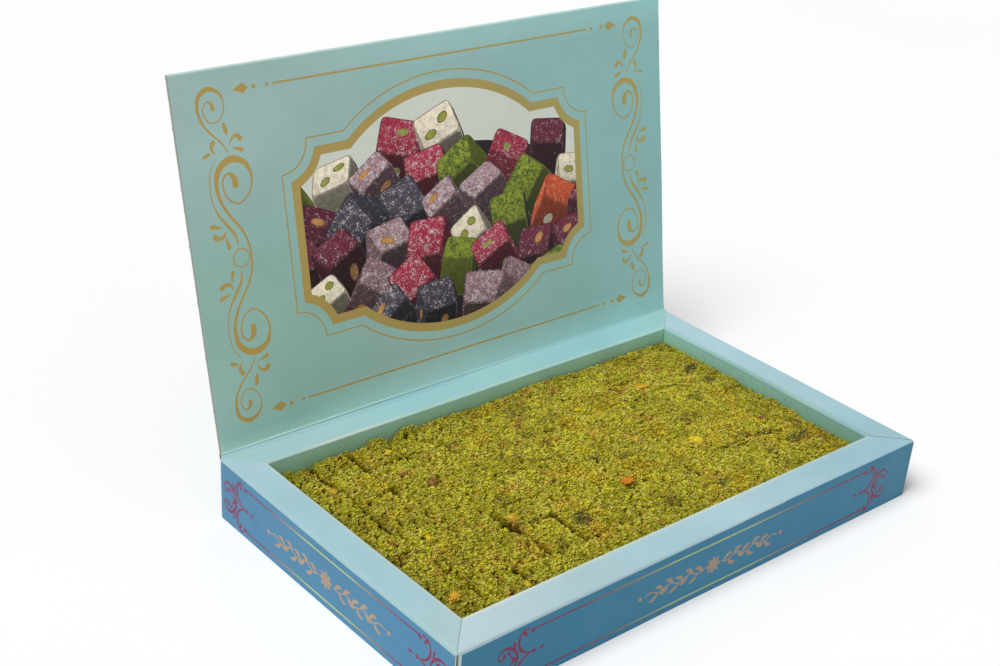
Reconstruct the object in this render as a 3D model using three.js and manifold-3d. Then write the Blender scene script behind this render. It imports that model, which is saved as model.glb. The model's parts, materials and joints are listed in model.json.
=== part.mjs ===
// An open gift box of Turkish delight.
//
// A shallow cardboard tray with hollow folded walls, mitred at the corners, is packed edge to edge
// with cubes of Turkish delight under a coat of ground pistachio. The lid is one flat panel of doubled
// board. It hangs on a crease along the back wall and leans back a little past upright.
//
// Millimetres. +X runs along the front, the front faces -Y and +Z is up. The origin is the middle of
// the tray's underside.

import * as THREE from 'three';
import { mergeVertices } from 'three/addons/utils/BufferGeometryUtils.js';
import Module from 'manifold-3d';

const wasm = await Module();
wasm.setup();

// Tray
const width = 300; // outside, along the front
const depth = 180; // outside, front to back
const height = 33; // from the table to the top of the rim
const rimWidth = 17.5; // a folded wall, from its outer face to its inner face
const backRimWidth = 16; // the wall under the lid is a little slimmer
const board = 1.5; // thickness of the folded board
const foldRadius = 1.2; // outside of a fold
const foldSteps = 4; // facets round a fold
const gap = 0.3; // air between two pieces that touch

// Lid
const lidThickness = 2; // two boards glued face to face
const lidLean = 11.5; // degrees past upright, as it stands open
const lidLength = depth; // from the crease to the free edge, level with the front when shut
const creaseHeight = height + gap; // the lid folds about a line just over the back wall's outer edge

// Filling
const columns = 12; // pieces along X
const rows = 7; // pieces along Y
const fillDrop = 7; // from the rim down to the middle of a piece's top
const wallClearance = 0.4; // from a wall to the pieces beside it
const pieceUnevenness = 0.55; // how far a piece sits above or below its neighbours
const pieceTilt = 0.5; // how far a piece's edge rises or falls by its tilt
const crumbRelief = 0.55; // height of the lumps in the pistachio coat
const jointWander = 0.8; // how far a joint strays from a straight line
const filledJointDepth = [0.3, 1.4]; // a joint that the crumbs have nearly filled
const edgeDrop = [0.3, 1.6]; // rounding of the pieces along the walls
const leftColumnDrop = 1.3; // the column at the left end was cut a little low
const pieceStops = [0.06, 0.24, 0.41, 0.59, 0.76, 0.94]; // lattice lines over a piece, from 0 to 1

// Joints between pieces that stand open: which line, counted from the left or from the back, where
// it opens, in pieces from the back or from the left, and how deep
const openJoints = [
  { across: 'x', line: 1, from: 0, to: 7, depth: 2.6 },
  { across: 'x', line: 2, from: 0.4, to: 2.2, depth: 3.4 },
  { across: 'x', line: 3, from: 4, to: 5.1, depth: 4.6 },
  { across: 'x', line: 4, from: 4.8, to: 6, depth: 4 },
  { across: 'x', line: 7, from: 2, to: 3, depth: 2.4 },
  { across: 'x', line: 10, from: 3.2, to: 4.6, depth: 2.8 },
  { across: 'y', line: 1, from: 1, to: 3.2, depth: 2.8 },
  { across: 'y', line: 2, from: 7.6, to: 9.4, depth: 2.6 },
  { across: 'y', line: 4, from: 2.6, to: 4.4, depth: 3.6 },
  { across: 'y', line: 5, from: 9, to: 11.2, depth: 4 },
  { across: 'y', line: 6, from: 3.8, to: 5.4, depth: 2.6 },
];

// Pistachio and hazelnut bits too large to sink into the coat
const nutBits = 48;
const nutBitRadius = [1.1, 1.9];

const cavity = { x: width - 2 * rimWidth, y: depth - rimWidth - backRimWidth };
const cavityMiddleY = (rimWidth - backRimWidth) / 2;
const bedSize = { x: cavity.x - 2 * wallClearance, y: cavity.y - 2 * wallClearance };
const bedFloor = board + gap;
const bedTop = height - fillDrop;

const degrees = Math.PI / 180;

const paleCyan = new THREE.MeshStandardMaterial({ color: 0xa3cfd2, roughness: 0.45, metalness: 0 });
const greyBoard = new THREE.MeshStandardMaterial({ color: 0xb9b4a6, roughness: 0.9, metalness: 0 });
const lidCyan = new THREE.MeshStandardMaterial({ color: 0x8bb0a8, roughness: 0.45, metalness: 0 });
const pistachio = new THREE.MeshStandardMaterial({ color: 0x97902f, roughness: 0.95, metalness: 0 });

/** Repeatable draws between 0 and 1. */
function seededRandom(seed) {
  let state = seed;
  return () => {
    state = (state * 1664525 + 1013904223) % 2 ** 32;
    return state / 2 ** 32;
  };
}

function lerp(low, high, t) {
  return low + (high - low) * t;
}

/** Adds the facets of a quarter fold about (x, y) to a shape, from one angle to the other. */
function addFold(shape, x, y, fromDegrees, toDegrees) {
  for (let step = 0; step <= foldSteps; step += 1) {
    const angle = lerp(fromDegrees, toDegrees, step / foldSteps) * degrees;
    shape.lineTo(x + foldRadius * Math.cos(angle), y + foldRadius * Math.sin(angle));
  }
}

/** Section of a folded wall: outer leg, rim and inner leg, with x from the outer face inwards. */
function wallSection(rim) {
  const shape = new THREE.Shape();
  shape.moveTo(0, 0);
  shape.lineTo(board, 0);
  shape.lineTo(board, height - board);
  shape.lineTo(rim - board, height - board);
  shape.lineTo(rim - board, bedFloor);
  shape.lineTo(rim, bedFloor);
  addFold(shape, rim - foldRadius, height - foldRadius, 0, 90);
  addFold(shape, foldRadius, height - foldRadius, 90, 180);
  shape.closePath();
  return shape;
}

/**
 * One wall, centred on its outer face and running along X, with mitred ends. Its section's x becomes
 * Y, and each end draws in as the section goes inwards, to meet the neighbour's mitre.
 */
function mitredWall({ name, length, rim, before, after }) {
  const extrude = { depth: 1, steps: 1, bevelEnabled: false };
  const geometry = new THREE.ExtrudeGeometry(wallSection(rim), extrude);
  const place = geometry.attributes.position;
  for (let i = 0; i < place.count; i += 1) {
    const inwards = place.getX(i);
    const up = place.getY(i);
    const atEnd = place.getZ(i) > 0.5;
    const neighbour = atEnd ? after : before;
    const half = length / 2 - inwards * (neighbour / rim) - gap * Math.SQRT1_2;
    place.setXYZ(i, atEnd ? half : -half, inwards, up);
  }
  geometry.computeVertexNormals();
  const wall = new THREE.Mesh(geometry, paleCyan);
  wall.name = name;
  return wall;
}

/** The four walls, each turned so that its outer face looks away from the middle. */
function walls() {
  const plain = { rim: rimWidth, before: rimWidth, after: rimWidth };
  const sides = [
    { ...plain, name: 'wall_front', length: width, away: depth / 2, turn: 0 },
    { ...plain, name: 'wall_right', length: depth, away: width / 2, turn: 90, after: backRimWidth },
    { ...plain, name: 'wall_back', length: width, away: depth / 2, turn: 180, rim: backRimWidth },
    { ...plain, name: 'wall_left', length: depth, away: width / 2, turn: 270, before: backRimWidth },
  ];
  return sides.map((side) => {
    const turned = new THREE.Group();
    const wall = mitredWall(side);
    wall.position.y = -side.away;
    turned.rotation.z = side.turn * degrees;
    turned.add(wall);
    return turned;
  });
}

/** The bottom of the tray, between the outer legs of the walls. */
function basePanel() {
  const inset = 2 * (board + gap);
  const base = new THREE.Mesh(new THREE.BoxGeometry(width - inset, depth - inset, board), greyBoard);
  base.name = 'base_panel';
  base.position.z = board / 2;
  return base;
}

/** The lid, in the frame of its crease: up the lid is Z, and its back is at +Y. */
function lidPanel() {
  const edge = lidThickness / 2;
  const shape = new THREE.Shape();
  shape.moveTo(0, gap);
  shape.lineTo(lidThickness, gap);
  shape.lineTo(lidThickness, lidLength - edge);
  shape.absarc(edge, lidLength - edge, edge, 0, Math.PI, false);
  shape.closePath();
  const extrude = { depth: width, steps: 1, curveSegments: 6, bevelEnabled: false };
  const geometry = new THREE.ExtrudeGeometry(shape, extrude);
  // The section's x becomes Y, its y becomes Z, and its length runs along X.
  const axes = new THREE.Matrix4().set(0, 0, 1, -width / 2, 1, 0, 0, 0, 0, 1, 0, 0, 0, 0, 0, 1);
  geometry.applyMatrix4(axes);
  const lid = new THREE.Mesh(geometry, lidCyan);
  lid.name = 'lid';
  return lid;
}

/** The lid on its crease, leaning back. */
function standingLid() {
  const crease = new THREE.Group();
  crease.position.set(0, depth / 2, creaseHeight);
  crease.rotation.x = -lidLean * degrees;
  crease.add(lidPanel());
  return crease;
}

/** Lattice lines across the bed: one on each joint and several over each piece. */
function latticeLines(pieces) {
  const lines = [];
  for (let piece = 0; piece < pieces; piece += 1) {
    lines.push({ piece, at: 0, joint: piece });
    pieceStops.forEach((at) => lines.push({ piece, at, joint: -1 }));
  }
  lines.push({ piece: pieces - 1, at: 1, joint: pieces });
  return lines;
}

/** Random height and tilt for each piece. */
function piecePoses(random) {
  const poses = [];
  for (let column = 0; column < columns; column += 1) {
    const drop = column === 0 ? leftColumnDrop : 0;
    poses.push([]);
    for (let row = 0; row < rows; row += 1) {
      poses[column].push({
        rise: lerp(-pieceUnevenness, pieceUnevenness, random()) - drop,
        tiltX: lerp(-pieceTilt, pieceTilt, random()),
        tiltY: lerp(-pieceTilt, pieceTilt, random()),
      });
    }
  }
  return poses;
}

/** Height of a piece's own top at a point, where u and v run from 0 to 1 across it. */
function pieceTop(pose, u, v) {
  return bedTop + pose.rise + pose.tiltX * (2 * u - 1) + pose.tiltY * (2 * v - 1);
}

/** How deep the joints run at a lattice point: 0 over a piece, most on an open joint. */
function jointDepth(xLine, yLine, random) {
  const filled = lerp(...filledJointDepth, random());
  let deepest = 0;
  if (xLine.joint > 0 && xLine.joint < columns) {
    deepest = filled;
  }
  if (yLine.joint > 0 && yLine.joint < rows) {
    deepest = Math.max(deepest, filled);
  }
  openJoints.forEach((open) => {
    const joint = open.across === 'x' ? xLine.joint : yLine.joint;
    const along = open.across === 'x' ? yLine.piece + yLine.at : xLine.piece + xLine.at;
    if (joint === open.line && along >= open.from && along <= open.to) {
      const taper = Math.min(1, 2 * Math.min(along - open.from, open.to - along) + 0.3);
      deepest = Math.max(deepest, open.depth * taper);
    }
  });
  return deepest;
}

/** Grid of points over the filling: cube tops, joints between them and the lumps of the coat. */
function bedSurface(xLines, yLines, random) {
  const poses = piecePoses(random);
  const pitch = { x: bedSize.x / columns, y: bedSize.y / rows };
  const points = [];
  yLines.forEach((yLine, iy) => {
    xLines.forEach((xLine, ix) => {
      const onWallX = ix === 0 || ix === xLines.length - 1;
      const onWallY = iy === 0 || iy === yLines.length - 1;
      const strayX = onWallX ? 0 : lerp(-jointWander, jointWander, random()) / 2;
      const strayY = onWallY ? 0 : lerp(-jointWander, jointWander, random()) / 2;
      const x = (xLine.piece + xLine.at) * pitch.x - bedSize.x / 2 + strayX;
      const y = bedSize.y / 2 - (yLine.piece + yLine.at) * pitch.y + strayY;
      let z = pieceTop(poses[xLine.piece][yLine.piece], xLine.at, yLine.at);
      z += lerp(-crumbRelief, crumbRelief, random()) - jointDepth(xLine, yLine, random);
      if (onWallX || onWallY) {
        z -= lerp(...edgeDrop, random());
      }
      points.push(new THREE.Vector3(x, y, z));
    });
  });
  return points;
}

/** Numbers of the lattice lines that lie on joints or walls. */
function jointNumbers(lines) {
  return lines.map((line, i) => (line.joint >= 0 ? i : -1)).filter((i) => i >= 0);
}

/**
 * The bed without its nut bits: the uneven surface, a flat bottom with one point under each corner of
 * a piece, and sides that fan down from the surface's edge to those points.
 */
function bedCore(random) {
  const xLines = latticeLines(columns);
  const yLines = latticeLines(rows);
  const points = bedSurface(xLines, yLines, random);
  const top = (ix, iy) => iy * xLines.length + ix;
  const triangles = [];
  for (let iy = 0; iy + 1 < yLines.length; iy += 1) {
    for (let ix = 0; ix + 1 < xLines.length; ix += 1) {
      const [a, b, c, d] = [top(ix, iy), top(ix, iy + 1), top(ix + 1, iy + 1), top(ix + 1, iy)];
      triangles.push(...((ix + iy) % 2 ? [a, b, c, a, c, d] : [a, b, d, b, c, d]));
    }
  }

  const xCorners = jointNumbers(xLines);
  const yCorners = jointNumbers(yLines);
  const firstBottom = points.length;
  const bottom = (cx, cy) => firstBottom + cy * xCorners.length + cx;
  yCorners.forEach((iy) => {
    xCorners.forEach((ix) => {
      const x = (xLines[ix].piece + xLines[ix].at) * (bedSize.x / columns) - bedSize.x / 2;
      const y = bedSize.y / 2 - (yLines[iy].piece + yLines[iy].at) * (bedSize.y / rows);
      points.push(new THREE.Vector3(x, y, bedFloor));
    });
  });
  for (let cy = 0; cy < rows; cy += 1) {
    for (let cx = 0; cx < columns; cx += 1) {
      const [a, b, c, d] = [bottom(cx, cy), bottom(cx, cy + 1), bottom(cx + 1, cy + 1), bottom(cx + 1, cy)];
      triangles.push(a, c, b, a, d, c);
    }
  }

  /** One side of one piece: its edge points fan to the two bottom corners under them. */
  const side = (edge, low, high) => {
    const middle = Math.floor(edge.length / 2);
    for (let i = 0; i + 1 < edge.length; i += 1) {
      triangles.push(edge[i], edge[i + 1], i < middle ? low : high);
    }
    triangles.push(edge[middle], high, low);
  };
  const range = (from, to) => Array.from({ length: to - from + 1 }, (_, i) => from + i);
  const lastX = xLines.length - 1;
  const lastY = yLines.length - 1;
  for (let c = 0; c < columns; c += 1) {
    const across = range(xCorners[c], xCorners[c + 1]);
    side(across.map((ix) => top(ix, 0)), bottom(c, 0), bottom(c + 1, 0));
    side(across.map((ix) => top(ix, lastY)).reverse(), bottom(c + 1, rows), bottom(c, rows));
  }
  for (let r = 0; r < rows; r += 1) {
    const down = range(yCorners[r], yCorners[r + 1]);
    side(down.map((iy) => top(0, iy)).reverse(), bottom(0, r + 1), bottom(0, r));
    side(down.map((iy) => top(lastX, iy)), bottom(columns, r), bottom(columns, r + 1));
  }
  const geometry = new THREE.BufferGeometry().setFromPoints(points);
  geometry.setIndex(triangles);
  return { geometry, points, surfacePoints: firstBottom };
}

/** A closed geometry as a solid that can be joined. */
function toSolid(geometry) {
  const bare = geometry.clone();
  bare.deleteAttribute('normal');
  bare.deleteAttribute('uv');
  const merged = mergeVertices(bare, 1e-5);
  const mesh = new wasm.Mesh({
    numProp: 3,
    vertProperties: new Float32Array(merged.attributes.position.array),
    triVerts: new Uint32Array(merged.index.array),
  });
  return new wasm.Manifold(mesh);
}

/** A joined solid back as a geometry. */
function toGeometry(solid) {
  const mesh = solid.getMesh();
  const geometry = new THREE.BufferGeometry();
  geometry.setAttribute('position', new THREE.BufferAttribute(new Float32Array(mesh.vertProperties), 3));
  geometry.setIndex(new THREE.BufferAttribute(new Uint32Array(mesh.triVerts), 1));
  geometry.computeVertexNormals();
  return geometry;
}

/** A chipped bit of nut, half sunk at a point of the surface. */
function nutBit(point, random) {
  const bit = new THREE.IcosahedronGeometry(lerp(...nutBitRadius, random()), 0);
  bit.scale(lerp(0.9, 1.3, random()), lerp(0.7, 1, random()), lerp(0.6, 0.8, random()));
  bit.rotateZ(2 * Math.PI * random());
  bit.translate(point.x, point.y, point.z + 0.2);
  return toSolid(bit);
}

/** All the Turkish delight: one heap of cubes, with the larger nut bits fused on. */
function lokumBed() {
  const random = seededRandom(84);
  const core = bedCore(random);
  let solid = toSolid(core.geometry);
  const room = { x: bedSize.x / 2 - 2 * nutBitRadius[1], y: bedSize.y / 2 - 2 * nutBitRadius[1] };
  const inside = core.points
    .slice(0, core.surfacePoints)
    .filter((point) => Math.abs(point.x) < room.x && Math.abs(point.y) < room.y);
  const spacing = inside.length / nutBits;
  for (let i = 0; i < nutBits; i += 1) {
    const point = inside[Math.floor(spacing * (i + random()))];
    solid = solid.add(nutBit(point, random));
  }
  const bed = new THREE.Mesh(toGeometry(solid), pistachio);
  bed.name = 'lokum_bed';
  bed.position.y = cavityMiddleY;
  return bed;
}

const box = new THREE.Group();
box.add(basePanel(), ...walls(), lokumBed(), standingLid());

export default box;
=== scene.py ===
"""An open gift box of Turkish delight: the finish of its printed card, and its coat of ground pistachio.

Lengths are millimetres while a piece is made, and metres in the finished meshes. +X runs along the
front, the front faces -Y and +Z is up. The origin is the middle of the tray's underside.
"""

import json
import math

import bmesh
import bpy
import numpy as np
from mathutils import Euler, Matrix, Vector, noise
from mathutils.bvhtree import BVHTree
from mathutils.geometry import delaunay_2d_cdt


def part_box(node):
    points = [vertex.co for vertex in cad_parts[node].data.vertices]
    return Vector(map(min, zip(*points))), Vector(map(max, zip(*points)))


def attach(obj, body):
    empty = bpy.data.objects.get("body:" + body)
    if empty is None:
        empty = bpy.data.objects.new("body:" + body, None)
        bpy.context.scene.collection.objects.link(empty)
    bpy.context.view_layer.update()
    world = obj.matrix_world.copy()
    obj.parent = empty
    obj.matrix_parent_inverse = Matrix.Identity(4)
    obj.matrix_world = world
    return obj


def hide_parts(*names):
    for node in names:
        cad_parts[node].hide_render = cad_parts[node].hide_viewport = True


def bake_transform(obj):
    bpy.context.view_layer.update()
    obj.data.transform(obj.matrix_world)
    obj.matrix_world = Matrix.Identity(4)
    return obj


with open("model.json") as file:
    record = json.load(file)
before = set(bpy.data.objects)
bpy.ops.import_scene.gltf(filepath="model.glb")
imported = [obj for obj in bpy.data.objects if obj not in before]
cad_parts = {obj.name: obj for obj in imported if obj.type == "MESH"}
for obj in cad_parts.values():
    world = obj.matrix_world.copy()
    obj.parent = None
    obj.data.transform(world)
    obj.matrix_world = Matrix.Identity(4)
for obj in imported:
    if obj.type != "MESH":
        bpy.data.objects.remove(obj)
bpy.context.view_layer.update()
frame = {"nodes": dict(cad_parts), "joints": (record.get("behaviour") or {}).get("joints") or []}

MM = 0.001


def node_box(node):
    """Lowest and highest corner of a CAD node, in millimetres."""
    low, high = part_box(node)
    return low / MM, high / MM


# ---- Sizes, from the frame where it has them

HINGE = frame["joints"][0]
CREASE = Vector(HINGE["pos_m"]) / MM
LEAN = math.radians(HINGE["range_deg"][1] - 90)  # past upright, as the lid stands
LID_LENGTH = 180
LID_THICKNESS = 2
LID_FOOT = 0.3  # where the lid's board starts, up from the crease
LID_EDGE = LID_THICKNESS / 2  # radius of its free edge

WIDTH = node_box("lid")[1].x - node_box("lid")[0].x
DEPTH = node_box("wall_back")[1].y - node_box("wall_front")[0].y
HEIGHT = node_box("wall_front")[1].z
RIM = node_box("wall_front")[1].y - node_box("wall_front")[0].y
BACK_RIM = node_box("wall_back")[1].y - node_box("wall_back")[0].y
BOARD = 1.5
FOLD = 1.2  # radius of a wall's folds
INNER_FOOT = 1.8  # where a wall's inner leg stops above the table

UP_LID = Vector((0, math.sin(LEAN), math.cos(LEAN)))
BEHIND_LID = Vector((0, math.cos(LEAN), -math.sin(LEAN)))


def linear(red, green, blue):
    """A screen colour, 0 to 255 a channel, as linear light."""
    channels = [value / 255 for value in (red, green, blue)]
    return tuple(c / 12.92 if c <= 0.04045 else ((c + 0.055) / 1.055) ** 2.4 for c in channels)


def mix(a, b, share):
    """The colour a given share of the way from a to b."""
    return tuple(p + (q - p) * share for p, q in zip(a, b))


def times(colour, factor, share=1):
    """A colour times a number or another colour, or a share of the way there."""
    factors = factor if isinstance(factor, tuple) else (factor,) * 3
    return tuple(c * (1 + (f - 1) * share) for c, f in zip(colour, factors))


def part_way(ends, share):
    """The number a share of the way from the first to the last of two or more."""
    return ends[0] + (ends[-1] - ends[0]) * share


def share_of(value, start, end):
    """How far a value has gone from start to end, from 0 to 1."""
    return min(1, max(0, (value - start) / (end - start)))


def pulled(points, share):
    """A place on the curve from the first point to the last, which the points between them pull."""
    while len(points) > 1:
        points = [a.lerp(b, share) for a, b in zip(points, points[1:])]
    return points[0]


def between(stops, place):
    """The colour at a place, from stops of (place, colour)."""
    places, colours = zip(*stops)
    return tuple(float(np.interp(place, places, channel)) for channel in zip(*colours))


SQUARE = ((-1, -1), (1, -1), (1, 1), (-1, 1))


def added(name, data):
    """A new object in the scene."""
    thing = bpy.data.objects.new(name, data)
    bpy.context.scene.collection.objects.link(thing)
    return thing


CYAN = linear(165, 199, 207)
CYAN_BACK = linear(152, 195, 196)
# Pale blue of the lid's inside, with painted light and shade from corner to corner: lighter at the
# left, greener and darker at the right, and painted shade low on the left
LID_LEFT = linear(173, 204, 200)
LID_RIGHT = linear(148, 199, 198)
LOW_LEFT_PAINTED_SHADE = (0.83, 0.95, 0.9)
CYAN_LID = mix(LID_LEFT, LID_RIGHT, 0.5)
BLUE = linear(54, 121, 155)
# The walls' outer blue, painted a little different on the front and the left for the light each side gets
WALL_BLUES = {"wall_front": linear(45, 123, 157), "wall_left": linear(66, 125, 160)}
GOLD = linear(191, 161, 89)
GOLD_RIGHT = linear(178, 168, 104)  # the gold at the right of the lid's inside, painted duller as the painted light fades across it
RED = linear(122, 44, 84)
YELLOW = linear(176, 189, 120)
TAN = linear(163, 142, 120)
PAPER = linear(226, 232, 222)
RAW_BOARD = linear(158, 150, 132)
# Raw board of the lid's thin sides, painted darker and greyer than RAW_BOARD for the shade on them
RAW_LID_IN_SHADE = linear(136, 145, 137)

# ---- Flat artwork


class Ink:
    """A colour, perhaps shaded across its shape, with flecks of another colour."""

    def __init__(self, colour, fleck=(1, 1, 1), coverage=0.0, shade=None):
        self.colour = colour
        self.fleck = fleck
        self.coverage = coverage
        self.shade = shade

    def at(self, u, v):
        return self.shade(u, v) if self.shade else self.colour


class Artwork:
    """Coloured shapes on a flat sheet, in millimetres. A later shape covers an earlier one."""

    def __init__(self, outline, ink, spacing):
        self.points = []
        self.faces = []
        self.inks = []
        self.clips = []
        self.clip = None
        self.area(outline, ink)
        us = [p[0] for p in outline]
        vs = [p[1] for p in outline]
        for u in np.arange(min(us) + spacing / 2, max(us) - spacing / 3, spacing):
            for v in np.arange(min(vs) + spacing / 2, max(vs) - spacing / 3, spacing):
                self.points.append((float(u), float(v)))

    def area(self, outline, ink):
        """Fills a closed outline. Returns its number, for use as a clip."""
        turn = sum(a[0] * b[1] - b[0] * a[1] for a, b in zip(outline, [*outline[1:], outline[0]]))
        if abs(turn) < 1e-3:
            return None
        ordered = outline if turn > 0 else outline[::-1]
        first = len(self.points)
        self.points.extend((float(u), float(v)) for u, v in ordered)
        self.faces.append(list(range(first, first + len(ordered))))
        self.inks.append(ink)
        self.clips.append(self.clip)
        return len(self.faces) - 1

    def stroke(self, knots, ink, step=0.9, round_ends=True):
        """Draws a line through (u, v, width) knots, with its width changing along it."""
        line = smooth(np.array(knots, float), step)
        along = np.gradient(line[:, :2], axis=0)
        along /= np.maximum(np.linalg.norm(along, axis=1, keepdims=True), 1e-9)
        across = np.stack([-along[:, 1], along[:, 0]], axis=1) * line[:, 2:3] / 2
        left = (line[:, :2] + across).tolist()
        right = (line[:, :2] - across).tolist()
        for i in range(len(line) - 1):
            self.area([left[i], right[i], right[i + 1]], ink)
            self.area([left[i], right[i + 1], left[i + 1]], ink)
        if round_ends:
            for u, v, width in (line[0], line[-1]):
                if width > 0.5:
                    self.dot(u, v, width / 2, ink)

    def dot(self, u, v, radius, ink, squeeze=1.0, turn=0.0, sides=12):
        self.area(ellipse(u, v, radius, radius * squeeze, turn, sides), ink)

    def triangles(self):
        """Triangles as three points and the ink that shows there."""
        flat = [Vector(p) for p in self.points]
        points, _, faces, _, _, _ = delaunay_2d_cdt(flat, [], self.faces, 1, 1e-2)
        middles = np.array(points)[np.array(faces)].mean(axis=1)
        order = np.argsort(middles[:, 0])
        faces = [faces[i] for i in order]
        middles = middles[order]
        shown = np.full(len(faces), -1)
        windows = {}
        for number, (face, clip) in enumerate(zip(self.faces, self.clips)):
            inside = within(np.array([self.points[i] for i in face]), middles)
            if number in self.clips:
                windows[number] = np.zeros(len(faces), bool)
                windows[number][inside] = True
            if clip is not None:
                inside = inside[windows[clip][inside]]
            shown[inside] = number
        sheet = within(np.array([self.points[i] for i in self.faces[0]]), middles)
        for number in sheet:
            yield [points[i] for i in faces[number]], self.inks[shown[number]]


def within(outline, places):
    """Numbers of the places, sorted by their first value, that lie inside a closed outline."""
    low, high = outline.min(axis=0), outline.max(axis=0)
    first, last = np.searchsorted(places[:, 0], (low[0], high[0]))
    near = places[first:last]
    odd = np.zeros(len(near), bool)
    for (u0, v0), (u1, v1) in zip(outline, np.roll(outline, -1, axis=0)):
        if v0 != v1:
            spans = (near[:, 1] < v0) != (near[:, 1] < v1)
            odd ^= spans & (near[:, 0] < u0 + (near[:, 1] - v0) * (u1 - u0) / (v1 - v0))
    return first + np.flatnonzero(odd)


def smooth(knots, step):
    """Points about a step apart on a smooth curve through the knots."""
    gaps = np.maximum(np.linalg.norm(np.diff(knots[:, :2], axis=0), axis=1), 1e-6)
    slopes = np.diff(knots, axis=0) / gaps[:, None]
    tangents = np.empty_like(knots)
    before, after = gaps[:-1, None], gaps[1:, None]
    tangents[1:-1] = (slopes[:-1] * after + slopes[1:] * before) / (before + after)
    if len(knots) > 2:
        tangents[0] = 2 * slopes[0] - tangents[1]
        tangents[-1] = 2 * slopes[-1] - tangents[-2]
    else:
        tangents[:] = slopes[0]
    curve = []
    for i, gap in enumerate(gaps):
        count = max(1, round(gap / step))
        t = (np.arange(count) / count)[:, None]
        start = (2 * t**3 - 3 * t**2 + 1) * knots[i] + (t**3 - 2 * t**2 + t) * gap * tangents[i]
        end = (3 * t**2 - 2 * t**3) * knots[i + 1] + (t**3 - t**2) * gap * tangents[i + 1]
        curve.append(start + end)
    curve.append(knots[-1:])
    line = np.concatenate(curve)
    line[:, 2] = np.maximum(line[:, 2], 0.15)
    return line


def ellipse(u, v, radius_u, radius_v, turn=0.0, sides=12):
    """Outline of an ellipse, turned by an angle in radians."""
    outline = []
    for i in range(sides):
        angle = 2 * math.pi * i / sides
        p, q = radius_u * math.cos(angle), radius_v * math.sin(angle)
        outline.append(
            (u + p * math.cos(turn) - q * math.sin(turn), v + p * math.sin(turn) + q * math.cos(turn))
        )
    return outline


def placed(knots, move):
    """Knots with their first two values moved."""
    return [(*move(k[0], k[1]), *k[2:]) for k in knots]


# ---- Ornament of the lid: lines, scrolls and a frame round a picture. u runs from the left edge, and v
# from the free edge down to the crease.

SCROLL_MIDDLE = 88  # the scrolls are the same above and below this
LID_MIDDLE = 149.7
LINE_TOP = 11.8
LINE_ENDS = (52.4, 247)
LINE_STROKE = 0.95
LINE_DIAMOND = (30.9, 36.4, 39.2, 2.5)  # the diamond off a line's end: tip, shoulder, back, half width
LINE_DOTS = ((42, 1.1), (49, 0.95))  # place and radius of the dots beside it

SCROLL_STROKES = [
    # small spiral, from its eye out to its stem
    [
        (19.9, 18.8, 2.0), (19.6, 16.6, 1.5), (17.6, 15.3, 0.8), (15.4, 17, 0.6), (15.2, 21, 0.6),
        (17.2, 24.2, 0.6), (20.4, 25, 0.6), (24, 22.6, 0.6), (25.8, 17.6, 0.6), (24.2, 12.6, 1.2),
        (18.6, 9.8, 2.2), (13.8, 12.2, 2.0), (12.3, 17.5, 1.5), (13.8, 24.3, 1.1), (18, 30, 0.9),
        (22.4, 34.6, 0.8), (25.3, 39.8, 0.4),
    ],
    # large spiral, from its eye out to the middle of the column
    [
        (26.6, 54, 3.4), (26.2, 50.6, 2.6), (23.6, 48.4, 1.2), (20.8, 50.4, 0.9), (20.4, 55.5, 0.8),
        (22.8, 60.6, 0.8), (27.5, 62.7, 0.8), (32.8, 59.4, 0.9), (35.4, 52, 1.2), (33, 45.2, 2.4),
        (26, 42.2, 3.3), (19.2, 45.8, 2.9), (16.9, 53.5, 2.0), (18.3, 60.8, 1.5), (22.5, 68.5, 1.3),
        (27, 75, 1.2), (29.6, 81.5, 1.1), (30.3, 88, 1.0),
    ],
    # stem beside it
    [
        (18.4, 41, 0.3), (14.7, 46.5, 0.5), (13.6, 53.5, 0.6), (14.1, 61, 0.6), (16, 66, 0.9),
        (20, 72, 1.5), (23.4, 77.4, 1.2), (24.1, 82, 0.4),
    ],
]
SCROLL_LEAVES = [
    [(24.2, 25.8, 1.0), (24.9, 28.2, 2.2), (25.6, 31.4, 0.3)],
    [(26.2, 36, 0.3), (27.6, 33.2, 1.2), (30, 31.9, 1.7), (31.8, 33.6, 2.5)],
    [(27.3, 37.4, 0.3), (29.6, 37.8, 1.3), (32, 38.9, 2.1)],
    [(18.6, 39, 0.3), (16.9, 36.4, 1.4), (18, 33.5, 2.3)],
    [(16.4, 38.1, 0.3), (14.4, 38.7, 1.6), (12.4, 39.3, 1.3)],
    [(17, 72.4, 0.3), (14.6, 71.6, 1.4), (12, 71, 2.2)],
    [(18.6, 74, 0.3), (17.4, 76.4, 1.4), (14.8, 77.1, 2.0), (12.9, 75.9, 2.6)],
    [(18.2, 76.8, 0.3), (18.9, 79.4, 1.2), (19.4, 82, 2.1)],
]
RING = (25, 4.3, 0.7)  # place, radius and line width of the ring in the middle of the column


def draw_lines(art, ink):
    """The two lines along the lid."""
    for v in (LINE_TOP, 2 * SCROLL_MIDDLE - LINE_TOP):
        art.stroke([(end, v, LINE_STROKE) for end in LINE_ENDS], ink, step=8)


def draw_scroll_columns(art, ink):
    """The scrolls at both ends of the lid."""
    draw_scroll_column(art, lambda u, v: (u, v), ink)
    draw_scroll_column(art, lambda u, v: (2 * LID_MIDDLE - u, v), ink)


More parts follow.
